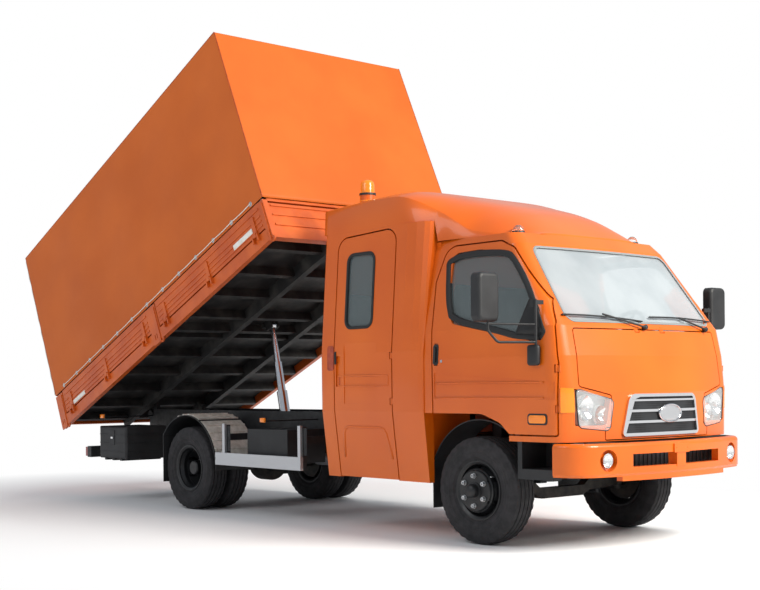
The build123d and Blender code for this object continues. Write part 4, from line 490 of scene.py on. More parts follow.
# %% Slack, ripples and scallops
HOOP_U = (-0.078, 0.993, 2.065, 3.078, 4.088)
SIDE_BARS_V = (0.414, 0.960, 1.550, 2.120)
ROOF_BARS_Y = (-1.125, -0.5625, 0.0, 0.5625, 1.125)
GROMMETS = 13
LACED = (-0.06, TARP_FRONT - 0.02)  # the laced length of the hem
GROMMET_STEP = (LACED[1] - LACED[0]) / GROMMETS
SIDE_SLACK, END_SLACK, ROOF_SLACK = 0.013, 0.016, 0.012
RIPPLE, SCALLOP, END_SCALLOP, DRAG = 0.0022, 0.004, 0.003, 0.007
SCALLOP_REACH, DRAG_REACH = 0.16, 0.45


def bay(value, stations):
    """0 at each station and 1 midway between two of them."""
    for low, high in zip(stations, stations[1:]):
        if low <= value <= high:
            return sin(pi * (value - low) / (high - low)) ** 2
    return 0.0


for vert in shape.verts:
    u, y, v = vert.co
    scallop = max(0, 1 - (v - HEM_V) / SCALLOP_REACH)
    if abs(y) > BED_HALF - ON_FACE:
        slack = SIDE_SLACK * bay(u, HOOP_U) * bay(v, SIDE_BARS_V)
        ripple = max(RIPPLE * sin(u * 31 + v * 3) * sin(v * 9) * bay(u, HOOP_U), 0)
        wave = sin(pi * (u - LACED[0]) / GROMMET_STEP) ** 2
        vert.co.y -= (slack + ripple + SCALLOP * scallop * wave) * (1 if y > 0 else -1)
    elif u > TARP_FRONT - ON_FACE or u < TARP_REAR + ON_FACE:
        across = 1 - (abs(y) / BED_HALF) ** 4
        rise = sin(pi * min(1, max(0, (v - HEM_V) / (TARP_TOP - HEM_V))))
        near_edge = max(0, 1 - (BED_HALF - abs(y)) / DRAG_REACH)
        drag = DRAG * sin((abs(y) * 0.6 + v) * 21 + 2 * sin(v * 5)) ** 2 * near_edge ** 1.5
        sink = END_SLACK * across * rise + drag + END_SCALLOP * scallop * sin(y * 14) ** 2
        vert.co.x += sink * (-1 if u > 0 else 1)
    elif v > TARP_TOP - ON_FACE:
        vert.co.z -= ROOF_SLACK * bay(u, HOOP_U) * bay(y, ROOF_BARS_Y)
print("eyelets stand", round(GROMMET_STEP, 3), "m apart")

# %% [markdown]
# Cloth has two faces and a thickness. One level of Subdivision Surface rounds the net into soft folds, and
# Solidify then adds the thickness inwards, so the outside keeps its measured place.

# %% The cover's skin
CLOTH = 0.002
tarp = piece_from(shape, "tarpaulin", "bed", tarpaulin, matrix=BED_MATRIX)
finer = tarp.modifiers.new("finer", "SUBSURF")
finer.levels = finer.render_levels = 1
skin = tarp.modifiers.new("skin", "SOLIDIFY")
skin.thickness = CLOTH
skin.offset = -1
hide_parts("tarp_cover")
print("cloth", CLOTH / MM, "mm thick")

# %% [markdown]
# The cover's corners are closed by a welded seam with a rounded edge, in cloth of a darker shade. A round bar
# is the simplest shape for it: a curve with a round section, turned into a mesh straight away. The hem is
# doubled and welded flat, so a thin strip lies on the cloth.

# %% Corner welds and hem
WELD_RADIUS = 0.0045
HEM_END = 0.02  # the hem's strip stops this short of the cover's ends
# Reddish orange, a little rough where the seam was melted.
weld_cloth = finish("welded_edge_cloth", "#9A3A10", 0.55, tones=(60, 3, "#8E340E", "#A64214"),
                    Specular_IOR_Level=0.35)


def sweep(shape, points, radius, smooth_steps=0):
    """A round bar along points, optionally on a smooth curve through their control polygon."""
    line = bpy.data.curves.new("path", "CURVE")
    line.dimensions = "3D"
    line.bevel_depth = radius
    line.bevel_resolution = 2
    line.use_fill_caps = True
    spline = line.splines.new("NURBS" if smooth_steps else "POLY")
    spline.points.add(len(points) - 1)
    for target, point in zip(spline.points, points):
        target.co = (*point, 1)
    if smooth_steps:
        spline.use_endpoint_u = True
        spline.order_u = 3
        spline.resolution_u = smooth_steps
    holder = bpy.data.objects.new("path", line)
    mesh = bpy.data.meshes.new_from_object(holder)
    shape.from_mesh(mesh)
    bpy.data.objects.remove(holder)
    bpy.data.curves.remove(line)
    bpy.data.meshes.remove(mesh)


shape = bmesh.new()
for hand, side in HANDS:
    y = side * (BED_HALF - WELD_RADIUS)
    for u in (TARP_FRONT - WELD_RADIUS, TARP_REAR + WELD_RADIUS):
        sweep(shape, [(u, y, v) for v in (HEM_V + 0.002, TARP_TOP - 0.006)], radius=WELD_RADIUS)
    ridge = [(u, y, TARP_TOP - WELD_RADIUS) for u in (TARP_REAR + 0.006, TARP_FRONT - 0.006)]
    sweep(shape, ridge, radius=WELD_RADIUS)
welds = piece_from(shape, "tarpaulin_corner_welds", "bed", weld_cloth, matrix=BED_MATRIX)

shape = bmesh.new()
for hand, side in HANDS:
    bar(shape, (TARP_REAR + HEM_END, side * (BED_HALF - 0.010), HEM_V + 0.0015),
        (TARP_FRONT - HEM_END, side * (BED_HALF - 0.0002), HEM_V + 0.056), edge=0.0006, segments=1)
hem_strip = piece_from(shape, "tarpaulin_hem", "bed", tarpaulin, smooth=False, matrix=BED_MATRIX)

# %% [markdown]
# Each eyelet is a zinc ring pressed through the hem: a wide flat collar with a raised rim. Two low cones give
# both steps, and nothing smaller would show.

# %% Eyelets
GROMMET_V = HEM_V + 0.030
EYELET_STEPS = ((0.0240, 0.0020), (0.0150, 0.0034))  # radius, depth
EYELET_TAPER = 0.9


def grommet_u(index):
    """Place of an eyelet along the hem."""
    return LACED[0] + GROMMET_STEP * (index + 0.5)


shape = bmesh.new()
for hand, side in HANDS:
    for index in range(GROMMETS):
        eye = Matrix.Translation((grommet_u(index), side * (BED_HALF + 0.0002), GROMMET_V))
        for radius, depth in EYELET_STEPS:
            bmesh.ops.create_cone(shape, cap_ends=True, segments=16, radius1=radius,
                                  radius2=radius * EYELET_TAPER, depth=depth,
                                  matrix=eye @ Matrix.Rotation(pi / 2, 4, "X"))
eyelets = piece_from(shape, "tarpaulin_eyelets", "bed", zinc_plate, smooth=False,
                     matrix=BED_MATRIX)

# %% [markdown]
# A white cord of polyester runs along the hem through the eyelets and sags a little between them. It is a
# swept curve too, on a smooth line. The cord, the hem, the welds and the eyelets belong to the sheet.

# %% Lacing, and the sheet's drop
CORD_RADIUS = 0.0042
CORD_SAG = 0.007
EYE_HALF = 0.012
BRAID_MM = 7.854  # a real braid's stitches are 3 mm long, which would not show at this distance
# Off-white, with the small shadows of its braid.
white_cord = finish("braided_polyester_cord", "#E6E2D8", 0.7, bands=(BRAID_MM, ("DIAGONAL",), 0, 0.6, 0.6),
                    Sheen_Weight=0.2)
shape = bmesh.new()
for hand, side in HANDS:
    line = []
    for index in range(GROMMETS):
        u = grommet_u(index)
        line += [(u + along, side * (BED_HALF + 0.0045), GROMMET_V) for along in (-EYE_HALF, EYE_HALF)]
        if index < GROMMETS - 1:
            middle = (u + grommet_u(index + 1)) / 2
            line.append((middle, side * (BED_HALF + 0.0050), GROMMET_V - CORD_SAG))
    sweep(shape, line, radius=CORD_RADIUS, smooth_steps=3)
lacing = piece_from(shape, "tarpaulin_lacing", "bed", white_cord, matrix=BED_MATRIX)
TARP_DROP = TARP_TOP - HEM_V

# %% [markdown]
# ## The roof fairing
# The fairing is moulded in glass-fibre plastic, so it has no sharp fold: its top and its edges are one
# flowing skin. Its cross-sections are mixed smoothly along the roof, which a loft of straight spans can't do,
# and each pair of neighbours is bridged.

# %% Sections of the roof fairing
ROOF_FOOT, VISOR_FOOT = 2.4503, 2.2903  # the fairing stands on the crew module, its nose on the cab
FOOT_STEP_X = -0.4695
ROOF_ROWS = (  # station, half width, edge z, top z, edge softness
    (-1.710, 0.948, 2.652, 2.702, 0.11),
    (-1.400, 0.948, 2.668, 2.724, 0.11),
    (-1.100, 0.948, 2.680, 2.737, 0.11),
    (-0.810, 0.947, 2.672, 2.737, 0.12),
    (-0.640, 0.931, 2.624, 2.700, 0.14),
    (-0.470, 0.874, 2.540, 2.655, 0.17),
    (-0.300, 0.850, 2.440, 2.610, 0.19),
    (-0.150, 0.826, 2.350, 2.567, 0.21),
    (0.000, 0.795, 2.318, 2.508, 0.22),
    (0.110, 0.755, 2.306, 2.447, 0.22),
    (0.220, 0.690, 2.297, 2.375, 0.20),
    (0.325, 0.560, 2.292, 2.300, 0.15),
)
ROOF_STEPS = 6
ROOF_ACROSS = 28
ROOF_INSET = 0.012


def smooth_rows(rows, steps):
    """Rows between the given ones, on a smooth curve through them all."""
    made = []
    for index in range(len(rows) - 1):
        a, b = rows[max(index - 1, 0)], rows[index]
        c, d = rows[index + 1], rows[min(index + 2, len(rows) - 1)]
        for step in range(steps):
            t = step / steps
            made.append([0.5 * (2 * q + (r - p) * t + (2 * p - 5 * q + 4 * r - s) * t**2
                                + (3 * q - p - 3 * r + s) * t**3) for p, q, r, s in zip(a, b, c, d)])
    return made + [list(rows[-1])]


def roof_points(station, half, edge, top, soft):
    """Points across the fairing, from its right foot over the top to the left one."""
    foot = ROOF_FOOT if station < FOOT_STEP_X else VISOR_FOOT
    edge = max(edge, foot + 0.001)
    top = max(top, edge + 0.002)
    points = [(-half, foot)]
    for step in range(ROOF_ACROSS + 1):
        across = -cos(pi * step / ROOF_ACROSS)
        out = (1 if across > 0 else -1) * abs(across) ** 0.55
        rise = 1 - abs(out) ** (2 / max(soft, 0.05) * 0.36 + 1.2)
        points.append((out * (half - ROOF_INSET), max(edge + (top - edge) * max(rise, 0), foot)))
    points.append((half, foot))
    return [Vector((AXLE_X + station, y, z)) for y, z in points]


roof_sections = [roof_points(*row) for row in smooth_rows(ROOF_ROWS, ROOF_STEPS)]
print("roof fairing sections", len(roof_sections))

# %% [markdown]
# A line of edges through each section is all that is made one by one. The bridge operator puts the faces
# between two lines, and one face closes each end.

# %% Roof fairing
def chain(shape, points, closed=False):
    """Vertices along points, and the edges that join them."""
    verts = [shape.verts.new(point) for point in points]
    edges = [shape.edges.new(pair) for pair in zip(verts, verts[1:] + verts[:1] if closed else verts[1:])]
    return verts, edges


def bridged(shape, chains, closed=False):
    """Bridges each chain to the next one, and the last to the first where the row is closed."""
    edge_rows = [edges for verts, edges in chains]
    for one, two in zip(edge_rows, edge_rows[1:] + edge_rows[:1] if closed else edge_rows[1:]):
        bmesh.ops.bridge_loops(shape, edges=one + two)


shape = bmesh.new()
roof_chains = [chain(shape, points) for points in roof_sections]
bridged(shape, roof_chains)
for verts, edges in (roof_chains[0], roof_chains[-1]):
    shape.faces.new(verts)
roof = piece_from(shape, "roof_fairing_skin", "chassis", coach_enamel)
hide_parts("roof_fairing")

# %% [markdown]
# ## Tyres
# A tyre is a revolved body, so its section is drawn once and spun round the axle. The tread has four
# grooves, ribs in the side wall guard it against kerbs, and the shoulders are cut into blocks by sinking some
# of the spun points.

# %% The tyre's section
TYRE_RADIUS = 0.401
TYRE_SECTION = (  # distance from the tyre's middle, radius
    (0.0800, 0.2045), (0.0805, 0.222), (0.0850, 0.232), (0.0935, 0.247), (0.0955, 0.2485), (0.0960, 0.2525),
    (0.1005, 0.268), (0.1042, 0.285), (0.1060, 0.2865), (0.1060, 0.291), (0.1062, 0.305), (0.1070, 0.3065),
    (0.1070, 0.3105), (0.1048, 0.330), (0.1055, 0.3315), (0.1052, 0.3355), (0.1015, 0.352), (0.0985, 0.366),
    (0.0965, 0.372), (0.0955, 0.379), (0.0885, 0.3935), (0.0820, 0.3960),
)
GROOVES = (0.060, 0.021, -0.021, -0.060)
GROOVE_HALF = 0.0048
GROOVE_DEPTH = 0.011
CROWN_DROP, CROWN_HALF = 0.005, 0.0815

tyre_profile = list(TYRE_SECTION)
for middle in GROOVES:
    crown = TYRE_RADIUS - CROWN_DROP * (abs(middle) / CROWN_HALF) ** 2
    floor_half = GROOVE_HALF * 0.6
    tyre_profile += [(middle + GROOVE_HALF, crown), (middle + floor_half, crown - GROOVE_DEPTH),
                     (middle - floor_half, crown - GROOVE_DEPTH), (middle - GROOVE_HALF, crown)]
tyre_profile += [(-out, radius) for out, radius in reversed(TYRE_SECTION)]
print("points round the tyre's section", len(tyre_profile))

# %% [markdown]
# The same lathe turns tyres, hub caps, lamp bowls and the beacon: a short chain of edges, spun once round an
# axis through its centre. The last step is merged with the first, or the seam would stay open.

# %% Tyres
TYRE_SEGMENTS = 144
BLOCK_STEPS, BLOCK_CUT = 4, 2.5  # every block is four steps of the spin, and its last part is sunk
SHOULDER = ((0.370, 0.3965), (0.080, 0.099))  # range of radius, range of distance from the middle
BLOCK_DEPTH = 0.0055
WHEELS = (  # body, node, station, distances of the tyres' middles from the truck's middle
    ("front_wheel", "front_tyre", 0.0, (0.825,)),
    ("rear_wheels", "rear_tyres", -WHEELBASE, (0.620, 0.875)),
)


def lathe(shape, centre, offsets, axis, steps):
    """Spins a section once round an axis through the centre. Its points are counted from the centre."""
    verts, edges = chain(shape, [centre + Vector(offset) for offset in offsets])
    bmesh.ops.spin(shape, geom=verts + edges, cent=centre, axis=axis, angle=2 * pi, steps=steps,
                   use_merge=True)


def tyre(shape, centre, side):
    """One tyre, its shoulders cut into blocks."""
    before = set(shape.verts)
    lathe(shape, centre, [(0, side * out, radius) for out, radius in tyre_profile], axis=(0, 1, 0),
          steps=TYRE_SEGMENTS)
    for vert in set(shape.verts) - before:
        rel = vert.co - centre
        radius = hypot(rel.x, rel.z)
        in_block = (atan2(rel.z, rel.x) / (2 * pi) * TYRE_SEGMENTS) % BLOCK_STEPS
        ranges = zip((radius, abs(rel.y)), SHOULDER)
        if in_block >= BLOCK_CUT and all(low < value < high for value, (low, high) in ranges):
            sink = 1 - BLOCK_DEPTH / radius
            vert.co.x = centre.x + rel.x * sink
            vert.co.z = centre.z + rel.z * sink


for body, tyre_node, station, places in WHEELS:
    for hand, side in HANDS:
        shape = bmesh.new()
        for y in places:
            tyre(shape, Vector((AXLE_X + station, side * y, AXLE_Z)), side)
        made = piece_from(shape, f"{tyre_node}_tread_{hand}", f"{body}_{hand}", tyre_rubber)
        sharp = made.modifiers.new("edges", "EDGE_SPLIT")
        sharp.split_angle = radians(38)
        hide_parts(f"{tyre_node}_{hand}")

# %% [markdown]
# Zinc-plated nuts and studs stand bright on the black discs. A nut is a collar, a hexagon, a chamfer and the
# end of its stud, so four cones on one axis make it, and six nuts stand on the bolt circle.

# %% Wheel nuts
BOLT_CIRCLE = 0.22225
NUTS = 6
NUT_FACE = {"front_wheel": 0.825 + 0.1275, "rear_wheels": 0.7475 + 0.012}
NUT_STEPS = (  # from, to, radius, radius at the top, corners
    (0.0004, 0.005, 0.0205, 0.0195, 24), (0.005, 0.0225, 0.0172, 0.0172, 6),
    (0.0225, 0.0245, 0.0150, 0.0120, 24), (0.0245, 0.0335, 0.0072, 0.0062, 14),
)
for body, tyre_node, station, places in WHEELS:
    for hand, side in HANDS:
        shape = bmesh.new()
        for index in range(NUTS):
            angle = radians(30) + 2 * pi * index / NUTS
            middle = Vector((AXLE_X + station, side * NUT_FACE[body], AXLE_Z))
            middle += Vector((cos(angle), 0, sin(angle))) * BOLT_CIRCLE / 2
            face = Matrix.Translation(middle) @ Matrix.Rotation(-pi / 2 * side, 4, "X")
            for low, high, radius, top_radius, corners in NUT_STEPS:
                at = Matrix.Translation((0, 0, (low + high) / 2)) @ Matrix.Rotation(angle, 4, "Z")
                bmesh.ops.create_cone(shape, cap_ends=True, segments=corners, radius1=radius,
                                      radius2=top_radius, depth=high - low, matrix=face @ at)
        piece_from(shape, f"{body}_nuts_{hand}", f"{body}_{hand}", zinc_plate, smooth=False)

# %% [markdown]
# A pressed cap closes the front hub: it is turned on the same lathe. Each front wheel also has a short valve
# beside a hand hole, made of two round bars: the stem and its cap.

# %% Hub caps and valves
HUB_CAP = ((0.140, 0.050), (0.172, 0.0495), (0.183, 0.042), (0.1885, 0.030), (0.190, 0.0005))
HUB_MIDDLE = 0.825
VALVE = ((0.150, 0.905, 0.105), (0.158, 0.940, 0.110), (0.1586, 0.949, 0.1105))  # from the axle's end
VALVE_RADII = (0.005, 0.0042)


def rod(shape, start, end, radius, sides=16):
    """A round bar between two points."""
    start, end = Vector(start), Vector(end)
    turn = (end - start).to_track_quat("Z", "Y").to_matrix().to_4x4()
    bmesh.ops.create_cone(shape, cap_ends=True, segments=sides, radius1=radius, radius2=radius,
                          depth=(end - start).length, matrix=Matrix.Translation((start + end) / 2) @ turn)


for hand, side in HANDS:
    shape = bmesh.new()
    lathe(shape, Vector((AXLE_X, side * HUB_MIDDLE, AXLE_Z)),
          [(0, side * out, radius) for out, radius in HUB_CAP], axis=(0, 1, 0), steps=48)
    piece_from(shape, f"hub_cap_{hand}", f"front_wheel_{hand}", wheel_enamel)
    shape = bmesh.new()
    knees = [Vector((AXLE_X + x, side * y, AXLE_Z + z)) for x, y, z in VALVE]
    for start, end, radius in zip(knees, knees[1:], VALVE_RADII):
        rod(shape, start, end, radius=radius)
    piece_from(shape, f"valve_{hand}", f"front_wheel_{hand}", zinc_plate)

# %% [markdown]
# ## Shapes that lie on the cab
# The cab's walls are ruled between six plan sections: straight sides, round corners and a shallow front arc.
# Two functions give the wall's place beside and in front, so every seal, lamp and lens follows the same
# surface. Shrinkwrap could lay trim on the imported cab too, but it would also catch the doors' gaps.

# %% The cab's surface, from its plan sections
CAB_SECTIONS = (  # z, front at the middle, centre of the corner arc, half width, corner radius
    (0.780, 0.965, 0.735, 1.000, 0.150),
    (1.120, 0.978, 0.740, 1.000, 0.150),
    (1.380, 0.925, 0.725, 1.000, 0.135),
    (1.590, 0.852, 0.700, 0.985, 0.115),
    (2.205, 0.425, 0.290, 0.865, 0.100),
    (2.290, 0.340, 0.215, 0.832, 0.090),
)


def cab_section(z):
    """The cab's plan at a height, mixed from the sections above and below it."""
    z = min(max(z, CAB_SECTIONS[0][0]), CAB_SECTIONS[-1][0])
    for low, high in zip(CAB_SECTIONS, CAB_SECTIONS[1:]):
        if z <= high[0]:
            share = (z - low[0]) / (high[0] - low[0])
            return [a + (b - a) * share for a, b in zip(low[1:], high[1:])]


def on_side(x, z, lift=0.0, side=-1):
    """A point on the cab's side, lifted off it."""
    corner_x, half, radius = cab_section(z)[1:]
    ahead = min(max(x - corner_x, 0), radius * 0.995)
    return Vector((AXLE_X + x, side * (half - radius + sqrt(radius**2 - ahead**2) + lift), z))


def on_front(y, z, lift=0.0, side=1):
    """A point on the cab's front, lifted off it."""
    front, corner_x, half, radius = cab_section(z)
    corner_y = half - radius
    reach = front - corner_x
    arc = (reach**2 + corner_y**2 - radius**2) / (2 * (reach - radius))
    if abs(y) <= corner_y * (1 + radius / (arc - radius)):
        x = front - arc + sqrt(arc**2 - y**2)
    else:
        x = corner_x + sqrt(radius**2 - min(abs(y) - corner_y, radius * 0.999)**2)
    return Vector((AXLE_X + x + lift, side * y, z))


print("cab half width at the door's handle", round(on_side(-0.344, 1.413, side=1).y, 3))

# %% [markdown]
# The crew module behind the cab has flat panels that lean a little at the foot and above the waist, so its
# side needs only a width at four heights.

# %% The crew module's side
MODULE_SECTIONS = ((0.433, 0.950), (0.980, 1.018), (1.450, 1.020), (2.450, 0.948))  # z, half width


def on_module(x, z, lift=0.0, side=-1):
    """A point on the crew module's side, lifted off it."""
    for low, high in zip(MODULE_SECTIONS, MODULE_SECTIONS[1:]):
        if z <= high[0]:
            half = low[1] + (high[1] - low[1]) * (z - low[0]) / (high[0] - low[0])
            break
    return Vector((AXLE_X + x, side * (half + lift), z))


print("module half width at the waist", on_module(-1.2, 1.450, side=1).y)

# %% [markdown]
# Most trim is drawn as an outline with rounded corners. A patch fills such an outline with one face, cuts it
# into cells so that it can bend, and lays it on a surface; it may then be extruded to a plate.

# %% Outlines and patches
CORNER_STEPS = 6


def rounded(rows):
    """Points of a closed outline whose corners are rounded. Rows are (a, b, radius)."""
    points = []
    for index, (a, b, radius) in enumerate(rows):
        here = Vector((a, b))
        if radius == 0:
            points.append(here)
            continue
        before = (Vector(rows[index - 1][:2]) - here).normalized()
        after = (Vector(rows[(index + 1) % len(rows)][:2]) - here).normalized()
        half_angle = before.angle(after) / 2
        middle = here + (before + after).normalized() * radius / sin(half_angle)
        start = here + before * radius / tan(half_angle) - middle
        swing = start.angle_signed(here + after * radius / tan(half_angle) - middle)
        for step in range(CORNER_STEPS + 1):
            turned = start.copy()
            turned.rotate(Matrix.Rotation(-swing * step / CORNER_STEPS, 2))
            points.append(middle + turned)
    return points


def plate_outline(middle, width, height, radius):
    """Points of a rounded rectangle about a middle point."""
    a, b = middle
    corners = ((-1, -1), (1, -1), (1, 1), (-1, 1))
    return rounded([(a + i * width / 2, b + j * height / 2, radius) for i, j in corners])


def patch(shape, points, surface, lift, cell, thick=0.0):
    """Fills an outline of (a, b) points, cuts it into cells and lays it on surface(a, b, lift)."""
    face = shape.faces.new([shape.verts.new((a, b, 0)) for a, b in points])
    part = [face, *face.edges, *face.verts]
    for axis in (0, 1):
        low = min(point[axis] for point in points)
        high = max(point[axis] for point in points)
        normal = Matrix.Identity(3)[axis]
        for step in range(1, int((high - low) / cell) + 1):
            part = bmesh.ops.bisect_plane(shape, geom=part, dist=1e-6, plane_co=normal * (low + cell * step),
                                          plane_no=normal)["geom"]
    faces = [item for item in part if isinstance(item, bmesh.types.BMFace)]
    for vert in {vert for made in faces for vert in made.verts}:
        vert.co = surface(vert.co.x, vert.co.y, lift)
    if thick:
        top = bmesh.ops.extrude_face_region(shape, geom=faces)["geom"]
        push = surface(*points[0], lift + thick) - surface(*points[0], lift)
        for item in top:
            if isinstance(item, bmesh.types.BMVert):
                item.co += push


print("steps in each corner", CORNER_STEPS)

# %% [markdown]
# A band is the other shape that trim takes: a low strip along an outline, as a rubber seal or a pressed lip
# is. Its section is six points, drawn at every point of the outline and bridged to the next one. A swept
# curve would twist where the wall bends; here every section stands upright on the wall.

# %% Bands
SHOULDER_RISE, SHOULDER_IN = 0.55, 0.18  # where a band's section bends, as shares of its height and width


def band(shape, points, surface, inner, outer, proud, closed=True, root=-0.004):
    """A low strip along an outline, from inner to outer beside it, standing proud of the surface."""
    step_in = (outer - inner) * SHOULDER_IN
    section = ((inner, root), (inner, proud * SHOULDER_RISE), (inner + step_in, proud),
               (outer - step_in, proud), (outer, proud * SHOULDER_RISE), (outer, root))
    turning = sum(a.x * b.y - b.x * a.y for a, b in zip(points, points[1:] + points[:1]))
    hand = 1 if turning > 0 else -1
    chains = []
    for index, point in enumerate(points):
        before = points[index - 1] if closed or index else point
        after = points[(index + 1) % len(points)] if closed or index < len(points) - 1 else point
        along = (after - before).normalized()
        out = Vector((along.y, -along.x)) * hand
        chains.append(chain(shape, [surface(*(point + out * across), height) for across, height in section]))
    bridged(shape, chains, closed)
    if not closed:
        for verts, edges in (chains[0], chains[-1]):
            shape.faces.new(verts)


print("a band bends at", SHOULDER_IN, "of its width")

# %% [markdown]
# ## Trim of the cab
# Each window stands in a black rubber section that is pressed over the flange of the opening. The door's
# seal bends so often that its outline is cut at the corners twice, which rounds it all along. In front a
# black sail covers the corner where the mirror's arm is bolted.

# %% Window seals
DOOR_SEAL = (
    (-0.332, 2.127, 0.05), (-0.203, 2.177, 0), (0.053, 2.180, 0), (0.293, 2.158, 0), (0.368, 2.104, 0),
    (0.542, 1.890, 0), (0.728, 1.545, 0.03), (0.688, 1.489, 0.02), (0.438, 1.505, 0), (0.303, 1.545, 0),
    (-0.105, 1.628, 0), (-0.231, 1.687, 0.05), (-0.288, 1.826, 0),
)
SAIL_CORNER = ((0.452, 1.535, 0.01), (0.690, 1.520, 0.02), (0.700, 1.548, 0.02), (0.560, 1.815, 0.02))
CREW_WINDOW = ((-1.225, 1.9575), 0.330, 0.605, 0.07)


def softened(points, times=2):
    """Cuts the corners of a closed outline, so that it runs as one smooth line."""
    for _ in range(times):
        points = [a.lerp(b, share) for a, b in zip(points, points[1:] + points[:1]) for share in (0.25, 0.75)]
    return points


for hand, side in HANDS:
    shape = bmesh.new()
    wall = partial(on_side, side=side)
    band(shape, softened(rounded(DOOR_SEAL)), wall, inner=-0.044, outer=0.001, proud=0.007, root=-0.032)
    patch(shape, rounded(SAIL_CORNER), wall, lift=-0.002, cell=0.05, thick=0.009)
    piece_from(shape, f"door_window_seal_{hand}", f"door_{hand}", seal_rubber)
    shape = bmesh.new()
    band(shape, plate_outline(*CREW_WINDOW), partial(on_module, side=side), inner=-0.014, outer=0.010,
         proud=0.008, root=-0.028)
    piece_from(shape, f"crew_window_seal_{hand}", f"crew_door_{hand}", seal_rubber)

# %% [markdown]
# The mirror's arm is bolted to a moulded foot on the door. It is a plain block with well rounded edges, so a
# box with a wide bevel is enough.

# %% Mirror feet
MIRROR_FOOT = ((0.594, 1.000, 1.312), (0.698, 1.044, 1.458))
for hand, side in HANDS:
    shape = bmesh.new()
    bar(shape, *[(AXLE_X + x, side * y, z) for x, y, z in MIRROR_FOOT], edge=0.021, segments=4)
    piece_from(shape, f"mirror_foot_{hand}", f"door_{hand}", grained_plastic)

# %% [markdown]
# A cab door is opened by a lifting handle in a moulded frame, with a key lock beside it. The frame is a band,
# its floor a thin patch and the handle a thicker one.

# %% Door handles and locks
HANDLE = (-0.344, 1.413)
GRIP = (HANDLE[0] - 0.004, HANDLE[1])
LOCK = (HANDLE[0] + 0.062, HANDLE[1] - 0.050)
for hand, side in HANDS:
    wall = partial(on_side, side=side)
    shape = bmesh.new()
    band(shape, plate_outline(HANDLE, width=0.050, height=0.150, radius=0.020), wall,
         inner=-0.008, outer=0.004, proud=0.004)
    patch(shape, plate_outline(HANDLE, width=0.044, height=0.144, radius=0.018), wall,
          lift=-0.001, cell=0.03, thick=0.003)
    patch(shape, plate_outline(GRIP, width=0.022, height=0.118, radius=0.010), wall,
          lift=0.001, cell=0.02, thick=0.013)
    piece_from(shape, f"door_handle_{hand}", f"door_{hand}", grained_plastic, smooth=False)
    shape = bmesh.new()
    eye = wall(*LOCK, lift=0.001)
    rod(shape, eye, eye + Vector((0, side * 0.003, 0)), radius=0.011, sides=20)
    piece_from(shape, f"door_lock_{hand}", f"door_{hand}", bright_chrome, smooth=False)

# %% [markdown]
# The crew door's handle sits at its rear edge, beside a shallow recess in the module that leaves room for
# the fingers. The recess stays on the module when the door swings, so it is a piece of its own.

# %% Crew door handles
CREW_HANDLE = (-1.566, 1.415)
CREW_GRIP = (-1.499, CREW_HANDLE[1])
# Enamel with the painted shade of its own recess: darker and redder than the panel, and patchy.
recess_painted_shade_enamel = finish("recess_orange_enamel_painted_shade", "#A63C12", 0.45, tones=(40, 3, "#9A3410", "#B04416"),
                       Coat_Weight=0.3)
for hand, side in HANDS:
    wall = partial(on_module, side=side)
    shape = bmesh.new()
    band(shape, plate_outline(CREW_HANDLE, width=0.082, height=0.205, radius=0.020), wall,
         inner=-0.012, outer=0.0, proud=0.004)
    patch(shape, plate_outline(CREW_HANDLE, width=0.072, height=0.195, radius=0.016), wall,
          lift=-0.001, cell=0.05, thick=0.002)
    piece_from(shape, f"crew_handle_recess_{hand}", "chassis", recess_painted_shade_enamel, smooth=False)
    shape = bmesh.new()
    patch(shape, plate_outline(CREW_GRIP, width=0.018, height=0.105, radius=0.006), wall,
          lift=-0.001, cell=0.03, thick=0.009)
    piece_from(shape, f"crew_door_handle_{hand}", f"crew_door_{hand}", grained_plastic,
               smooth=False)

# %% [markdown]
# Pressed lines stiffen a door's sheet: two straight ones on the cab door, and on the crew door a long
# rounded rectangle with an arch below it. They are very low bands in the body's own paint.

# %% Pressed lines of the doors
CREW_PRESSING = ((-1.165, 1.225), 0.620, 0.096, 0.022)
DOOR_ARCH = ((-1.440, 0.600), (-1.425, 0.800), (-1.400, 0.838), (-1.360, 0.850), (-0.980, 0.850),
             (-0.935, 0.838), (-0.910, 0.800), (-0.860, 0.600))
LINE_HEIGHTS = (1.087, 1.198)
LINE_START, LINE_LENGTH, LINE_STEPS = -0.350, 1.060, 24
for hand, side in HANDS:
    shape = bmesh.new()
    wall = partial(on_module, side=side)
    band(shape, plate_outline(*CREW_PRESSING), wall, inner=-0.012, outer=0.0, proud=0.004, root=-0.001)
    band(shape, [Vector(point) for point in DOOR_ARCH], wall, inner=-0.010, outer=0.010, proud=0.006,
         closed=False, root=-0.001)
    piece_from(shape, f"crew_door_pressings_{hand}", f"crew_door_{hand}", coach_enamel)
    shape = bmesh.new()
    wall = partial(on_side, side=side)
    for z in LINE_HEIGHTS:
        line = [Vector((LINE_START + LINE_LENGTH * step / LINE_STEPS, z)) for step in range(LINE_STEPS + 1)]
        band(shape, line, wall, inner=-0.006, outer=0.006, proud=0.003, closed=False, root=-0.001)
    piece_from(shape, f"door_pressings_{hand}", f"door_{hand}", coach_enamel)

# %% [markdown]
# A small amber side marker sits in a black frame low on each cab door. Its lens is a thick patch whose sharp
# edges are bevelled, as a moulding's always are.

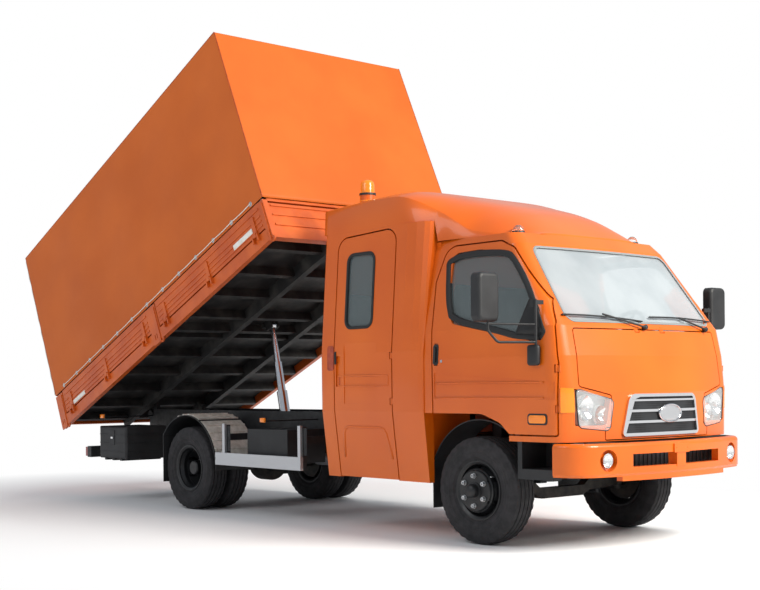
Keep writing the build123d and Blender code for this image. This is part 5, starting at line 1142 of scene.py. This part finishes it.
# %% Side markers of the doors
SIDE_MARKER = (0.656, 0.939)
SHARP_ANGLE = 1.0
for hand, side in HANDS:
    wall = partial(on_side, side=side)
    shape = bmesh.new()
    patch(shape, plate_outline(SIDE_MARKER, width=0.180, height=0.080, radius=0.022), wall,
          lift=-0.001, cell=0.03, thick=0.003)
    piece_from(shape, f"side_marker_recess_{hand}", f"door_{hand}", grained_plastic,
               smooth=False)
    shape = bmesh.new()
    patch(shape, plate_outline(SIDE_MARKER, width=0.150, height=0.056, radius=0.016), wall,
          lift=0.001, cell=0.03, thick=0.009)
    sharp_edges = [edge for edge in shape.edges if edge.calc_face_angle(0) > SHARP_ANGLE]
    bmesh.ops.bevel(shape, geom=sharp_edges, offset=0.003, offset_type="OFFSET", affect="EDGES", segments=2,
                    profile=0.5, material=-1)
    piece_from(shape, f"side_marker_{hand}", f"door_{hand}", amber_lens_painted_glow)

# %% [markdown]
# The windscreen is bonded, so a flat darkish moulding covers its edge, lightened to grey by a painted
# highlight. Its outline has long straight sides on a curved wall, so it gets more points before it becomes a
# band.

# %% Windscreen moulding
SCREEN = ((-0.838, 1.622, 0.06), (0.838, 1.622, 0.06), (0.765, 2.178, 0.07), (-0.765, 2.178, 0.07))
SCREEN_STEP = 0.09
# Dull mid grey: a darkish moulding lightened by a painted highlight along it, so it neither shines nor turns
# black.
moulding_with_painted_highlight = finish("windscreen_moulding_painted_highlight", "#7F8486", 0.5, grain=(6, 2, 0.1, 0.3))
shape = bmesh.new()
outline = rounded(SCREEN)
finer_outline = []
for a, b in zip(outline, outline[1:] + outline[:1]):
    steps = max(1, round((b - a).length / SCREEN_STEP))
    finer_outline += [a.lerp(b, step / steps) for step in range(steps)]
band(shape, finer_outline, on_front, inner=-0.010, outer=0.008, proud=0.006)
piece_from(shape, "windscreen_moulding", "chassis", moulding_with_painted_highlight)

# %% [markdown]
# Two wipers rest near the foot of the screen: a spring-loaded arm from its pivot, and a blade that holds the
# rubber along the curved glass. Both are lines on the cab's surface, swept with a round section.

# %% Wipers
WIPERS = (  # pivot, joint of arm and blade, blade's ends, all (y, z)
    ((-0.070, 1.585), (-0.465, 1.678), (-0.873, 1.667), (-0.061, 1.632)),
    ((0.710, 1.585), (0.430, 1.672), (0.061, 1.668), (0.846, 1.652)),
)
ARM_STEPS, BLADE_STEPS = 5, 12
ARM_LIFT, ARM_FALL = 0.030, 0.008  # the arm's height over the pivot, and how much lower the joint is
BLADE_BOW = 0.010
shape = bmesh.new()
for pivot, joint, blade_start, blade_end in WIPERS:
    foot = on_front(*pivot, lift=0.004)
    rod(shape, foot, foot + Vector((0.030, 0, 0.006)), radius=0.017, sides=20)
    shares = [step / ARM_STEPS for step in range(ARM_STEPS + 1)]
    arm = [on_front(*Vector(pivot).lerp(Vector(joint), share), lift=ARM_LIFT - ARM_FALL * share)
           for share in shares]
    sweep(shape, arm, radius=0.007)
    shares = [step / BLADE_STEPS for step in range(BLADE_STEPS + 1)]
    blade = [Vector(blade_start).lerp(Vector(blade_end), share) + Vector((0, BLADE_BOW * sin(pi * share)))
             for share in shares]
    for lift, radius in ((0.018, 0.006), (0.008, 0.0035)):
        sweep(shape, [on_front(*point, lift=lift) for point in blade], radius=radius)
piece_from(shape, "windscreen_wipers", "chassis", grained_plastic)

# %% [markdown]
# ## Headlamps
# Behind each clear cover is a bright housing that follows the cover's outline. Its floor is a patch sunk
# behind the cab's front, its wall is bridged between two outlines, and a short collar surrounds each bowl.

# %% Headlamp housings
HEADLAMP = ((-0.874, 1.154, 0.03), (-0.843, 0.879, 0.04), (-0.562, 0.851, 0.04), (-0.528, 1.067, 0.04))
LAMP_BOWLS = ((-0.765, 1.015, 0.088), (-0.625, 0.965, 0.066))  # y, z, radius
HOUSING_DEPTH = -0.062
# Vacuum-metallised plastic: bright and milky rather than a mirror.
lamp_housing = finish("aluminised_lamp_housing", "#C9CED1", 0.3, grain=(14, 2, 0.4, 0.3), Metallic=0.3)
lamp_outline = rounded(HEADLAMP)
shape = bmesh.new()
for hand, side in HANDS:
    wall = partial(on_front, side=-side)
    patch(shape, lamp_outline, wall, lift=HOUSING_DEPTH, cell=0.04)
    bridged(shape, [chain(shape, [wall(*point, lift=lift) for point in lamp_outline], closed=True)
                    for lift in (HOUSING_DEPTH, -0.004)])
    for y, z, radius in LAMP_BOWLS:
        middle = Matrix.Translation(wall(y, z, lift=-0.030)) @ Matrix.Rotation(pi / 2, 4, "Y")
        bmesh.ops.create_cone(shape, cap_ends=False, segments=40, radius1=radius * 1.06,
                              radius2=radius * 1.02, depth=0.020, matrix=middle)
housings = piece_from(shape, "headlamp_housings", "chassis", lamp_housing, smooth=False)
lamp_pieces = [housings]

# %% [markdown]
# A deep bright bowl throws the main beam and a smaller one the low beam. Each is a parabola on the lathe. The
# bulb in its middle is a stretched ball of frosted metal colour, which catches the light as a glass bulb
# with its shield does.

# %% Headlamp bowls and bulbs
BOWL_STEPS, BOWL_DEPTH = 9, 0.036
BULB_SHARE = 0.24
bowls = bmesh.new()
bulbs = bmesh.new()
for hand, side in HANDS:
    wall = partial(on_front, side=-side)
    for y, z, radius in LAMP_BOWLS:
        shares = [1 - step / BOWL_STEPS for step in range(BOWL_STEPS + 1)]
        parabola = [(-BOWL_DEPTH * (1 - share ** 2), 0, max(radius * share, 0.0001)) for share in shares]
        lathe(bowls, wall(y, z, lift=-0.021), parabola, axis=(1, 0, 0), steps=40)
        middle = Matrix.Translation(wall(y, z, lift=-0.024)) @ Matrix.Diagonal((1.5, 1, 1, 1))
        bmesh.ops.create_uvsphere(bulbs, u_segments=20, v_segments=12, radius=radius * BULB_SHARE,
                                  matrix=middle)
lamp_pieces.append(piece_from(bowls, "headlamp_bowls", "chassis", bright_chrome))
lamp_pieces.append(piece_from(bulbs, "headlamp_bulbs", "chassis", extruded_aluminium))

# %% [markdown]
# Round fog lamps sit in the bumper: a shallow bowl on the lathe, and a flat clear lens in front of it. The
# lens goes into the same piece as the headlamps' covers, because all of them are one clear plastic.

# %% Lamp covers, gaskets and fog lamps
FOG_LAMP = (0.728, 0.654)  # y, z
FOG_RADIUS = 0.052
FOG_BOWL = ((FOG_RADIUS, 0.032), (0.050, 0.026), (0.036, 0.010), (0.018, 0.003), (0.0001, 0.001))
FOG_LENS_X, FOG_BOWL_X = 1.046, 1.012
# Nearly invisible, but for the sharp reflections on its face.
cover_glass = finish("clear_lamp_cover", "#EEF2F4", 0.03, grain=(40, 1, 0.1, 0.2), Alpha=0.16, IOR=1.5)
covers = bmesh.new()
gaskets = bmesh.new()
fog_bowls = bmesh.new()
for hand, side in HANDS:
    wall = partial(on_front, side=-side)
    patch(covers, lamp_outline, wall, lift=0.001, cell=0.03, thick=0.002)
    lens = Matrix.Translation((AXLE_X + FOG_LENS_X, side * FOG_LAMP[0], FOG_LAMP[1]))
    bmesh.ops.create_uvsphere(covers, u_segments=32, v_segments=16, radius=FOG_RADIUS,
                              matrix=lens @ Matrix.Diagonal((0.28, 1, 1, 1)))
    band(gaskets, lamp_outline, wall, inner=-0.002, outer=0.004, proud=0.003)
    lathe(fog_bowls, Vector((AXLE_X + FOG_BOWL_X, side * FOG_LAMP[0], FOG_LAMP[1])),
          [(depth, 0, out) for out, depth in FOG_BOWL], axis=(1, 0, 0), steps=32)
lamp_pieces.append(piece_from(covers, "lamp_covers", "chassis", cover_glass))
lamp_pieces.append(piece_from(gaskets, "headlamp_gaskets", "chassis", seal_rubber))
lamp_pieces.append(piece_from(fog_bowls, "fog_lamp_bowls", "chassis", bright_chrome))
for made in lamp_pieces:
    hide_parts("front_lamps")
print("pieces that replace the front lamps", len(lamp_pieces))

# %% [markdown]
# Two clear marker lamps stand on the edge of the roof. Each has a round rubber base with a slope and a domed
# lens, which is a ball stretched a little upwards and sunk half into the base.

# %% Roof markers
ROOF_MARKER = (0.205, 0.674, 2.300)
bases = bmesh.new()
lenses = bmesh.new()
for hand, side in HANDS:
    foot = Matrix.Translation((AXLE_X + ROOF_MARKER[0], side * ROOF_MARKER[1], ROOF_MARKER[2]))
    bmesh.ops.create_cone(bases, cap_ends=True, segments=28, radius1=0.054, radius2=0.047, depth=0.024,
                          matrix=foot)
    dome = foot @ Matrix.Translation((0, 0, 0.014)) @ Matrix.Diagonal((1, 1, 1.1, 1))
    bmesh.ops.create_uvsphere(lenses, u_segments=24, v_segments=12, radius=0.042, matrix=dome)
piece_from(bases, "roof_marker_bases", "chassis", grained_plastic, smooth=False)
piece_from(lenses, "roof_marker_lenses", "chassis", clear_lens)

# %% [markdown]
# The windscreen faces the sky and mirrors it more than the side windows do, so that reflection is painted into
# its glass as a paler veil. The pane itself stays the imported one.

# %% Windscreen glass
# A painted reflection of the sky: a pale grey-blue veil with broad cloudy patches over the dark cab.
windscreen_painted_reflection = finish("windscreen_painted_sky_reflection", "#BCC5CB", 0.04, tones=(420, 3, "#A9B3BA", "#B9C2C8"),
                          Alpha=0.52, IOR=1.5)
dress(NODES["windscreen"], windscreen_painted_reflection)
print("windscreen dressed in", windscreen_painted_reflection.name)

# %% [markdown]
# The beacon stands on a painted foot, with a black ring and a smooth amber dome. The foot and the ring are
# short rods; the dome's section is drawn once and spun.

# %% Beacon
BEACON = Vector((AXLE_X - 1.600, -0.560, 2.690))
FOOT_TOP, RING_TOP = Vector((0, 0, 0.120)), Vector((0, 0, 0.138))
BEACON_DOME = (  # radius, height
    (0.060, 0.138), (0.060, 0.205), (0.056, 0.226), (0.045, 0.242), (0.026, 0.252), (0.0001, 0.256),
)
shape = bmesh.new()
rod(shape, BEACON, BEACON + FOOT_TOP, radius=0.066, sides=32)
piece_from(shape, "beacon_foot", "chassis", coach_enamel, smooth=False)
shape = bmesh.new()
rod(shape, BEACON + FOOT_TOP, BEACON + RING_TOP, radius=0.071, sides=32)
piece_from(shape, "beacon_ring", "chassis", grained_plastic, smooth=False)
shape = bmesh.new()
lathe(shape, BEACON, [(out, 0, height) for out, height in BEACON_DOME], axis=(0, 0, 1), steps=40)
piece_from(shape, "beacon_dome", "chassis", amber_lens_painted_glow)

# %% [markdown]
# Through the slots of the bumper one sees the dark ribs of an air duct. A plain box would leave the slots
# flat, so thin upright bars stand on it, and a shelf above closes the gap to the cab.

# %% Air duct behind the bumper
DUCT_BACK = ((0.900, -0.800, 0.575), (0.925, 0.800, 0.776))
DUCT_SHELF = ((0.700, -0.900, 0.752), (0.900, 0.900, 0.776))
DUCT_RIBS, DUCT_HALF = 30, 0.72
RIB_X, RIB_Z, RIB_HALF = (0.923, 0.932), (0.590, 0.760), 0.004


def ahead(*points):
    """Points counted from the front axle, in the truck's frame."""
    return [(AXLE_X + x, y, z) for x, y, z in points]


shape = bmesh.new()
for box in (DUCT_BACK, DUCT_SHELF):
    bar(shape, *ahead(*box), edge=0.004)
for step in range(DUCT_RIBS):
    y = -DUCT_HALF + 2 * DUCT_HALF * step / (DUCT_RIBS - 1)
    bar(shape, *ahead((RIB_X[0], y - RIB_HALF, RIB_Z[0]), (RIB_X[1], y + RIB_HALF, RIB_Z[1])))
piece_from(shape, "air_duct", "chassis", grained_plastic, smooth=False)

# %% [markdown]
# ## Grille
# The opening behind the bars is closed by a dark pierced sheet. Real holes by the thousand would weigh a lot
# and show as dots, so the sheet is one bent patch and the holes are a cell pattern in relief, painted black
# for the shade inside them.

# %% Grille sheet
GRILLE = ((-0.403, 0.797, 0.03), (0.497, 0.803, 0.03), (0.520, 1.013, 0.06), (0.412, 1.090, 0.04),
          (0.203, 1.122, 0), (-0.158, 1.111, 0), (-0.308, 1.071, 0.03))
HOLE_MM = 14  # real holes stand 6 mm apart, which would not show at this distance
HOLE_SHADE_SPAN = (0.30, 0.42)
# Dark satin steel, with painted shade making its holes black.
pierced = finish("pierced_sheet_painted_hole_shade", "#1B1C1E", 0.5, Metallic=0.4)
tree = pierced.node_tree
cells = node(tree, "ShaderNodeTexVoronoi", [("Scale", 1 / (HOLE_MM * MM)), ("Randomness", 0.0)],
             [(tree.nodes["Mapping"].outputs[0], "Vector")]).outputs["Distance"]
shades = node(tree, "ShaderNodeValToRGB", (), [(cells, "Fac")])
set_tones(shades, "#050506", "#2C2E31", *HOLE_SHADE_SPAN)
bump = node(tree, "ShaderNodeBump", [("Strength", 0.7), ("Distance", 1.5 * MM)], [(cells, "Height")])
tree.links.new(shades.outputs["Color"], tree.nodes["shader"].inputs["Base Color"])
tree.links.new(bump.outputs[0], tree.nodes["shader"].inputs["Normal"])
shape = bmesh.new()
patch(shape, rounded(GRILLE), on_front, lift=-0.003, cell=0.04, thick=0.001)
piece_from(shape, "grille_sheet", "front_panel", pierced, smooth=False)

# %% [markdown]
# A plain oval plate sits in the middle of the bars, bare on its face, with a raised bright rim. It needs no
# rounded corners, so its outline is an ellipse.

# %% Plain oval plate
OVAL = (0.070, 0.965, 0.135, 0.069)  # middle y, middle z, half width, half height
OVAL_POINTS = 48


def oval_points(grow=0.0):
    """Points of the oval plate's outline."""
    y, z, half_y, half_z = OVAL
    angles = [2 * pi * index / OVAL_POINTS for index in range(OVAL_POINTS)]
    return [Vector((y + (half_y + grow) * cos(angle), z + (half_z + grow) * sin(angle))) for angle in angles]


shape = bmesh.new()
patch(shape, oval_points(-0.004), on_front, lift=0.008, cell=0.03, thick=0.007)
piece_from(shape, "oval_plate", "front_panel", extruded_aluminium)
shape = bmesh.new()
band(shape, oval_points(), on_front, inner=-0.012, outer=0.001, proud=0.020, root=0.006)
piece_from(shape, "oval_rim", "front_panel", bright_chrome)

# %% [markdown]
# ## Seats
# Each seat is foam in a sewn woven cover. Padding is made as the real thing is: a block of even net is
# swelled by a short cloth run under a little pressure. How far a point may move is capped, so the seat keeps
# its size. After it the cushion's face is crowned a little more, and the sewn channels are drawn in.

# %% A padded block, swelled
PAD_VOXEL = 0.022
PAD_PRESSURE = 3.0
SWELL_FRAMES = 12
SWELL_CAP = 0.012
CROWN, CHANNEL_DEPTH, CHANNEL_HALF = 0.014, 0.008, 0.018


def swelled(low, high):
    """A block between two corners, remeshed to an even net and swelled by a cloth run."""
    start = bmesh.new()
    bar(start, low, high, edge=0.030, segments=3)
    mesh = bpy.data.meshes.new("pad")
    start.to_mesh(mesh)
    start.free()
    pad = bpy.data.objects.new("pad", mesh)
    bpy.context.scene.collection.objects.link(pad)
    mesher = pad.modifiers.new("mesher", "REMESH")
    mesher.mode = "VOXEL"
    mesher.voxel_size = PAD_VOXEL
    shown = pad.evaluated_get(bpy.context.evaluated_depsgraph_get())
    still = bpy.data.meshes.new_from_object(shown)
    pad.modifiers.clear()
    pad.data = still
    rest = [vert.co.copy() for vert in still.vertices]
    swell = pad.modifiers.new("swell", "CLOTH")
    swell.settings.use_pressure = True
    swell.settings.uniform_pressure_force = PAD_PRESSURE
    swell.settings.effector_weights.gravity = 0
    for frame_number in range(1, SWELL_FRAMES + 1):
        bpy.context.scene.frame_set(frame_number)
    shown = pad.evaluated_get(bpy.context.evaluated_depsgraph_get())
    moved = [vert.co.copy() for vert in shown.data.vertices]
    pad.modifiers.clear()
    bpy.context.scene.frame_set(1)
    for vert, before, after in zip(still.vertices, rest, moved):
        step = after - before
        vert.co = before + step * min(1.0, SWELL_CAP / max(step.length, 1e-6))
    return pad


print("a pad may swell by", SWELL_CAP / MM, "mm")

# %% [markdown]
# The crown is highest in the middle of the face and fades to its edges. A channel is a line of stitches from
# front to back, which pulls the cover down on both sides of it.

# %% Crown and sewn channels
FACE_FROM = {0: 0.3, 2: 0.6}  # axis the face looks along, and the share of the half depth where it starts


def cushion(low, high, channels, axis):
    """A padded block whose face looks along an axis (0 or 2), with sewn channels across its width."""
    low, high = Vector(low), Vector(high)
    pad = swelled(low, high)
    middle, half = (low + high) / 2, (high - low) / 2
    width = high.y - low.y
    for vert in pad.data.vertices:
        out = Vector([(vert.co[i] - middle[i]) / half[i] for i in range(3)])
        crown = max(0, 1 - out[2 - axis] ** 2) * max(0, 1 - out.y ** 2)
        across = (vert.co.y - low.y) / width * channels
        sewn = abs(across - round(across)) * width / channels
        inside = 0.5 < across < channels - 0.5
        groove = CHANNEL_DEPTH * max(0, 1 - sewn / CHANNEL_HALF) if inside else 0
        if out[axis] > FACE_FROM[axis]:
            vert.co[axis] += CROWN * crown - groove
    return pad


print("crown of a pad", CROWN / MM, "mm")

# %% [markdown]
# Three seats stand on plinths: the driver's, a wider one beside it and a bench in the crew module. Cushion
# and backrest are separate pads, as they are in the truck.

# %% Seats
PLINTH_TOP = 1.300
CUSHION_Z, BACKREST_Z = (1.285, 1.405), (1.400, 1.962)
SEAT_ROWS = (  # name, y from, y to, back of the backrest, floor, cushion length, channels
    ("driver", 0.130, 0.700, -0.400, 1.025, 0.50, 3),
    ("passenger", -0.800, 0.060, -0.400, 1.025, 0.50, 5),
    ("bench", -0.850, 0.850, -1.640, 1.000, 0.48, 9),
)
for name, right_y, left_y, back_x, floor_z, length, channels in SEAT_ROWS:
    back_x += AXLE_X
    front_x = back_x + length
    base = bmesh.new()
    bar(base, (back_x + 0.06, right_y + 0.03, floor_z), (front_x - 0.02, left_y - 0.03, PLINTH_TOP),
        edge=0.01)
    plinth = piece_from(base, f"seat_plinth_{name}", "chassis", grained_plastic, smooth=False)
    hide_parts("seats")
    pads = (  # part, low corner, high corner, axis the face looks along
        ("cushion", (back_x + 0.08, right_y + 0.01, CUSHION_Z[0]),
         (front_x + 0.04, left_y - 0.01, CUSHION_Z[1]), 2),
        ("backrest", (back_x + 0.012, right_y + 0.012, BACKREST_Z[0]),
         (back_x + 0.120, left_y - 0.012, BACKREST_Z[1]), 0),
    )
    for part_name, low, high, axis in pads:
        pad = cushion(low, high, channels, axis)
        pad.name = f"seat_{part_name}_{name}"
        for face in pad.data.polygons:
            face.use_smooth = True
        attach(pad, "chassis")
        dress(pad, seat_cloth)
        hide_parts("seats")
        softer = pad.modifiers.new("softer", "SUBSURF")
        softer.levels = softer.render_levels = 1
        print("made", pad.name, "with", len(pad.data.vertices), "points")

# %% [markdown]
# ## On the bed
# Blank white plates are riveted to the drop boards. Each is a thin box with a rivet in every corner, and it
# rides on its board, so it swings down with it.

# %% Blank plates
PLATES = (("front", 3.570, 3.880, 0.172, 0.222), ("rear", 0.225, 0.500, 0.140, 0.185))  # u and v, from and to
PLATE_Y = (1.1462, 1.1530)
RIVET_IN = (0.016, 0.012)
RIVET_Y, RIVET_RADIUS = (1.152, 1.1545), 0.0045
# Chalky white, yellowed by dust.
white_enamel = finish("white_plate_enamel", "#E9E7E1", 0.4, tones=(50, 4, "#DAD6CC", "#EFEDE8"),
                      Coat_Weight=0.3)
for hand, side in HANDS:
    for end, low_u, high_u, low_v, high_v in PLATES:
        shape = bmesh.new()
        bar(shape, (low_u, side * PLATE_Y[0], low_v), (high_u, side * PLATE_Y[1], high_v), edge=0.0008,
            segments=1)
        for u in (low_u + RIVET_IN[0], high_u - RIVET_IN[0]):
            for v in (low_v + RIVET_IN[1], high_v - RIVET_IN[1]):
                rod(shape, *[(u, side * y, v) for y in RIVET_Y], radius=RIVET_RADIUS, sides=12)
        piece_from(shape, f"blank_plate_{end}_{hand}", f"board_{end}_{hand}", white_enamel,
                   smooth=False, matrix=BED_MATRIX)

# %% [markdown]
# A folded cap closes the upper edge of the headboard under the cloth, and at the rear a rope hangs along
# both edges of the cover. The rope isn't quite straight, so two slow waves move its points.

# %% Headboard cap and rear rope
CAP = ((4.070, -1.096, 0.368), (4.118, 1.096, 0.397))
ROPE_RADIUS = 0.0055
ROPE_STEPS = 22
shape = bmesh.new()
bar(shape, *CAP, edge=0.004)
piece_from(shape, "headboard_cap", "bed", tray_enamel, smooth=False, matrix=BED_MATRIX)
shape = bmesh.new()
for hand, side in HANDS:
    line = []
    for step in range(ROPE_STEPS + 1):
        sway_u, sway_y = 0.006 * sin(step * 1.9), 0.004 * sin(step * 2.7)
        height = TARP_TOP - 0.05 - (TARP_DROP - 0.07) * step / ROPE_STEPS
        line.append((TARP_REAR - 0.004 + sway_u, side * (BED_HALF - 0.004 + sway_y), height))
    sweep(shape, line, radius=ROPE_RADIUS, smooth_steps=4)
piece_from(shape, "tarpaulin_rear_rope", "bed", white_cord, matrix=BED_MATRIX)

# %% [markdown]
# Road dust lies on the black cross-members below the floor, more in some places than in others. It is a
# finish and not a shape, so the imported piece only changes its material.

# %% Dust below the floor
# Black enamel that is bare in some places and brown-grey in others.
dusty_black = finish("dusty_chassis_enamel", "#1B1B1C", 0.62,
                     tones=(160, 6, "#121213", "#3B3936", 0.42, 0.75), grain=(10, 3, 0.3, 0.4))
dress(NODES["bed_frame"], dusty_black)
print("bed frame dressed in", dusty_black.name)

# %% [markdown]
# ## Along the chassis
# The mudguards carry ribbed sheet over the tyres, painted pale for the sunlit highlight on its top. It is
# rolled from slats, so short boxes stand side by side along two arcs, and every fifth one is higher.

# %% Mudguard sheets
FENDER_R = 0.517
FENDER_Y = (0.985, 0.520)
SLAT_ARCS = ((12, 62), (66, 114))  # degrees above the horizon, from the front
SLAT_DEGREES, SLAT_HALF = 2, 0.0094
SLAT_RISE, RIDGE_RISE, RIDGE_EVERY = 0.004, 0.012, 5
# Pale and dull: the sunlit highlight on the guard's ribbed top, painted into its colour.
sheet_with_painted_highlight = finish("ribbed_sheet_painted_sunlit_highlight", "#DAD8D0", 0.42, tones=(60, 4, "#C9C6BC", "#E6E4DD"),
                      Metallic=0.25)
shape = bmesh.new()
for hand, side in HANDS:
    for first, last in SLAT_ARCS:
        slats = (last - first) // SLAT_DEGREES
        for step in range(slats):
            angle = radians(first + (last - first) * (step + 0.5) / slats)
            turned = Matrix.Translation((AXLE_X - WHEELBASE, 0, AXLE_Z)) @ Matrix.Rotation(-angle, 4, "Y")
            rise = SLAT_RISE if step % RIDGE_EVERY else RIDGE_RISE
            bar(shape, (FENDER_R - 0.001, side * FENDER_Y[0], -SLAT_HALF),
                (FENDER_R + rise, side * FENDER_Y[1], SLAT_HALF), turned)
piece_from(shape, "mudguard_sheets", "chassis", sheet_with_painted_highlight, smooth=False)

# %% [markdown]
# The side guards hang on upright flat brackets with a row of holes. At this size a hole shows as a small
# round mark, so each one is a very flat stud on the bracket's face.

# %% Guard brackets
BRACKET_X = (-3.146, -2.010)
BRACKET_FOOT = (0.030, 0.988, 0.590)
BRACKET_SIZE = (0.044, -0.004, 0.235)
BRACKET_MARKS, MARK_STEP, MARK_RADIUS = 6, 0.037, 0.010
shape = bmesh.new()
for hand, side in HANDS:
    for x in BRACKET_X:
        low = Vector((AXLE_X + x + BRACKET_FOOT[0], side * BRACKET_FOOT[1], BRACKET_FOOT[2]))
        size_x, size_y, size_z = BRACKET_SIZE
        bar(shape, low, low + Vector((size_x, side * size_y, size_z)), edge=0.001, segments=1)
        for step in range(BRACKET_MARKS):
            eye = low + Vector((size_x / 2, side * 0.001, 0.025 + MARK_STEP * step))
            rod(shape, eye, eye + Vector((0, side * 0.0012, 0)), radius=MARK_RADIUS)
piece_from(shape, "guard_brackets", "chassis", chassis_enamel, smooth=False)

# %% [markdown]
# The step below each cab door has a tread of low studs, so that a wet boot doesn't slip. Each stud is one
# short cone with few faces, because there are seventy of them.

# %% Step treads
TREAD_START = (0.500, 0.800, 0.780)
TREAD_ROWS, TREAD_COLUMNS = 7, 5
TREAD_STEP = (0.040, 0.038)
shape = bmesh.new()
for hand, side in HANDS:
    for row in range(TREAD_ROWS):
        for column in range(TREAD_COLUMNS):
            x, y, z = TREAD_START
            eye = (AXLE_X + x + TREAD_STEP[0] * row, side * (y + TREAD_STEP[1] * column), z)
            bmesh.ops.create_cone(shape, cap_ends=True, segments=14, radius1=0.013, radius2=0.010,
                                  depth=0.006, matrix=Matrix.Translation(eye))
piece_from(shape, "step_treads", "chassis", grained_plastic, smooth=False)

# %% [markdown]
# Small amber lamps mark the truck's sides. Each sits on a plate at the end of a flat arm that comes out from
# the frame's rail, so three boxes make it.

# %% Side marker lamps and their brackets
MARKER_X = (-5.440, -2.550)
MARKER_ARM = (0.012, (0.374, 0.985), (0.872, 0.884))  # half length, y range, z range
MARKER_PLATE = (0.036, (0.978, 0.988), (0.862, 0.910))
MARKER_LENS = (0.032, (0.987, 1.010), (0.866, 0.906))
brackets = bmesh.new()
lenses = bmesh.new()
for hand, side in HANDS:
    for x in MARKER_X:
        for shape, (half, y_range, z_range), breaking in (
                (brackets, MARKER_ARM, {"edge": 0.001, "segments": 1}),
                (brackets, MARKER_PLATE, {"edge": 0.002}), (lenses, MARKER_LENS, {"edge": 0.006})):
            corners = zip((x - half, x + half), (side * y for y in y_range), z_range)
            bar(shape, *ahead(*corners), **breaking)
piece_from(brackets, "marker_brackets", "chassis", chassis_enamel, smooth=False)
piece_from(lenses, "marker_lenses", "chassis", amber_lens_painted_glow)

# %% [markdown]
# The tool box hangs behind the rear wheels on the right. Ribs stiffen its door and its rear side, straps run
# below it, and a plate on its door carries a bright latch.

# %% Tool box
BOX_RIB_HEIGHTS, BOX_RIB_HALF = (0.520, 0.610, 0.700), 0.004
BOX_DOOR = ((-5.400, -1.0530), (-4.876, -1.0490))  # x and y of a rib, from and to
BOX_END = ((-4.8630, -1.036), (-4.8590, -0.575))
BOX_PLATE = ((-5.190, -1.0560, 0.590), (-5.090, -1.0490, 0.745))
BOX_STRAPS, STRAP_HALF = (-5.33, -5.13, -4.94), 0.02
BOX_LATCH = ((-5.160, -1.0600, 0.655), (-5.120, -1.0555, 0.675))
shape = bmesh.new()
for z in BOX_RIB_HEIGHTS:
    for start, end in (BOX_DOOR, BOX_END):
        bar(shape, *ahead((*start, z - BOX_RIB_HALF), (*end, z + BOX_RIB_HALF)), edge=0.001, segments=1)
bar(shape, *ahead(*BOX_PLATE), edge=0.003)
for x in BOX_STRAPS:
    bar(shape, *ahead((x - STRAP_HALF, -1.020, 0.431), (x + STRAP_HALF, -0.590, 0.447)), edge=0.003)
piece_from(shape, "toolbox_ribs", "chassis", grained_plastic, smooth=False)
shape = bmesh.new()
bar(shape, *ahead(*BOX_LATCH), edge=0.001)
piece_from(shape, "toolbox_latch", "chassis", bright_chrome, smooth=False)

# %% [markdown]
# ## The end
# Nothing that was added here may stand out past the real truck.

# %% The end
print("the scene is built")
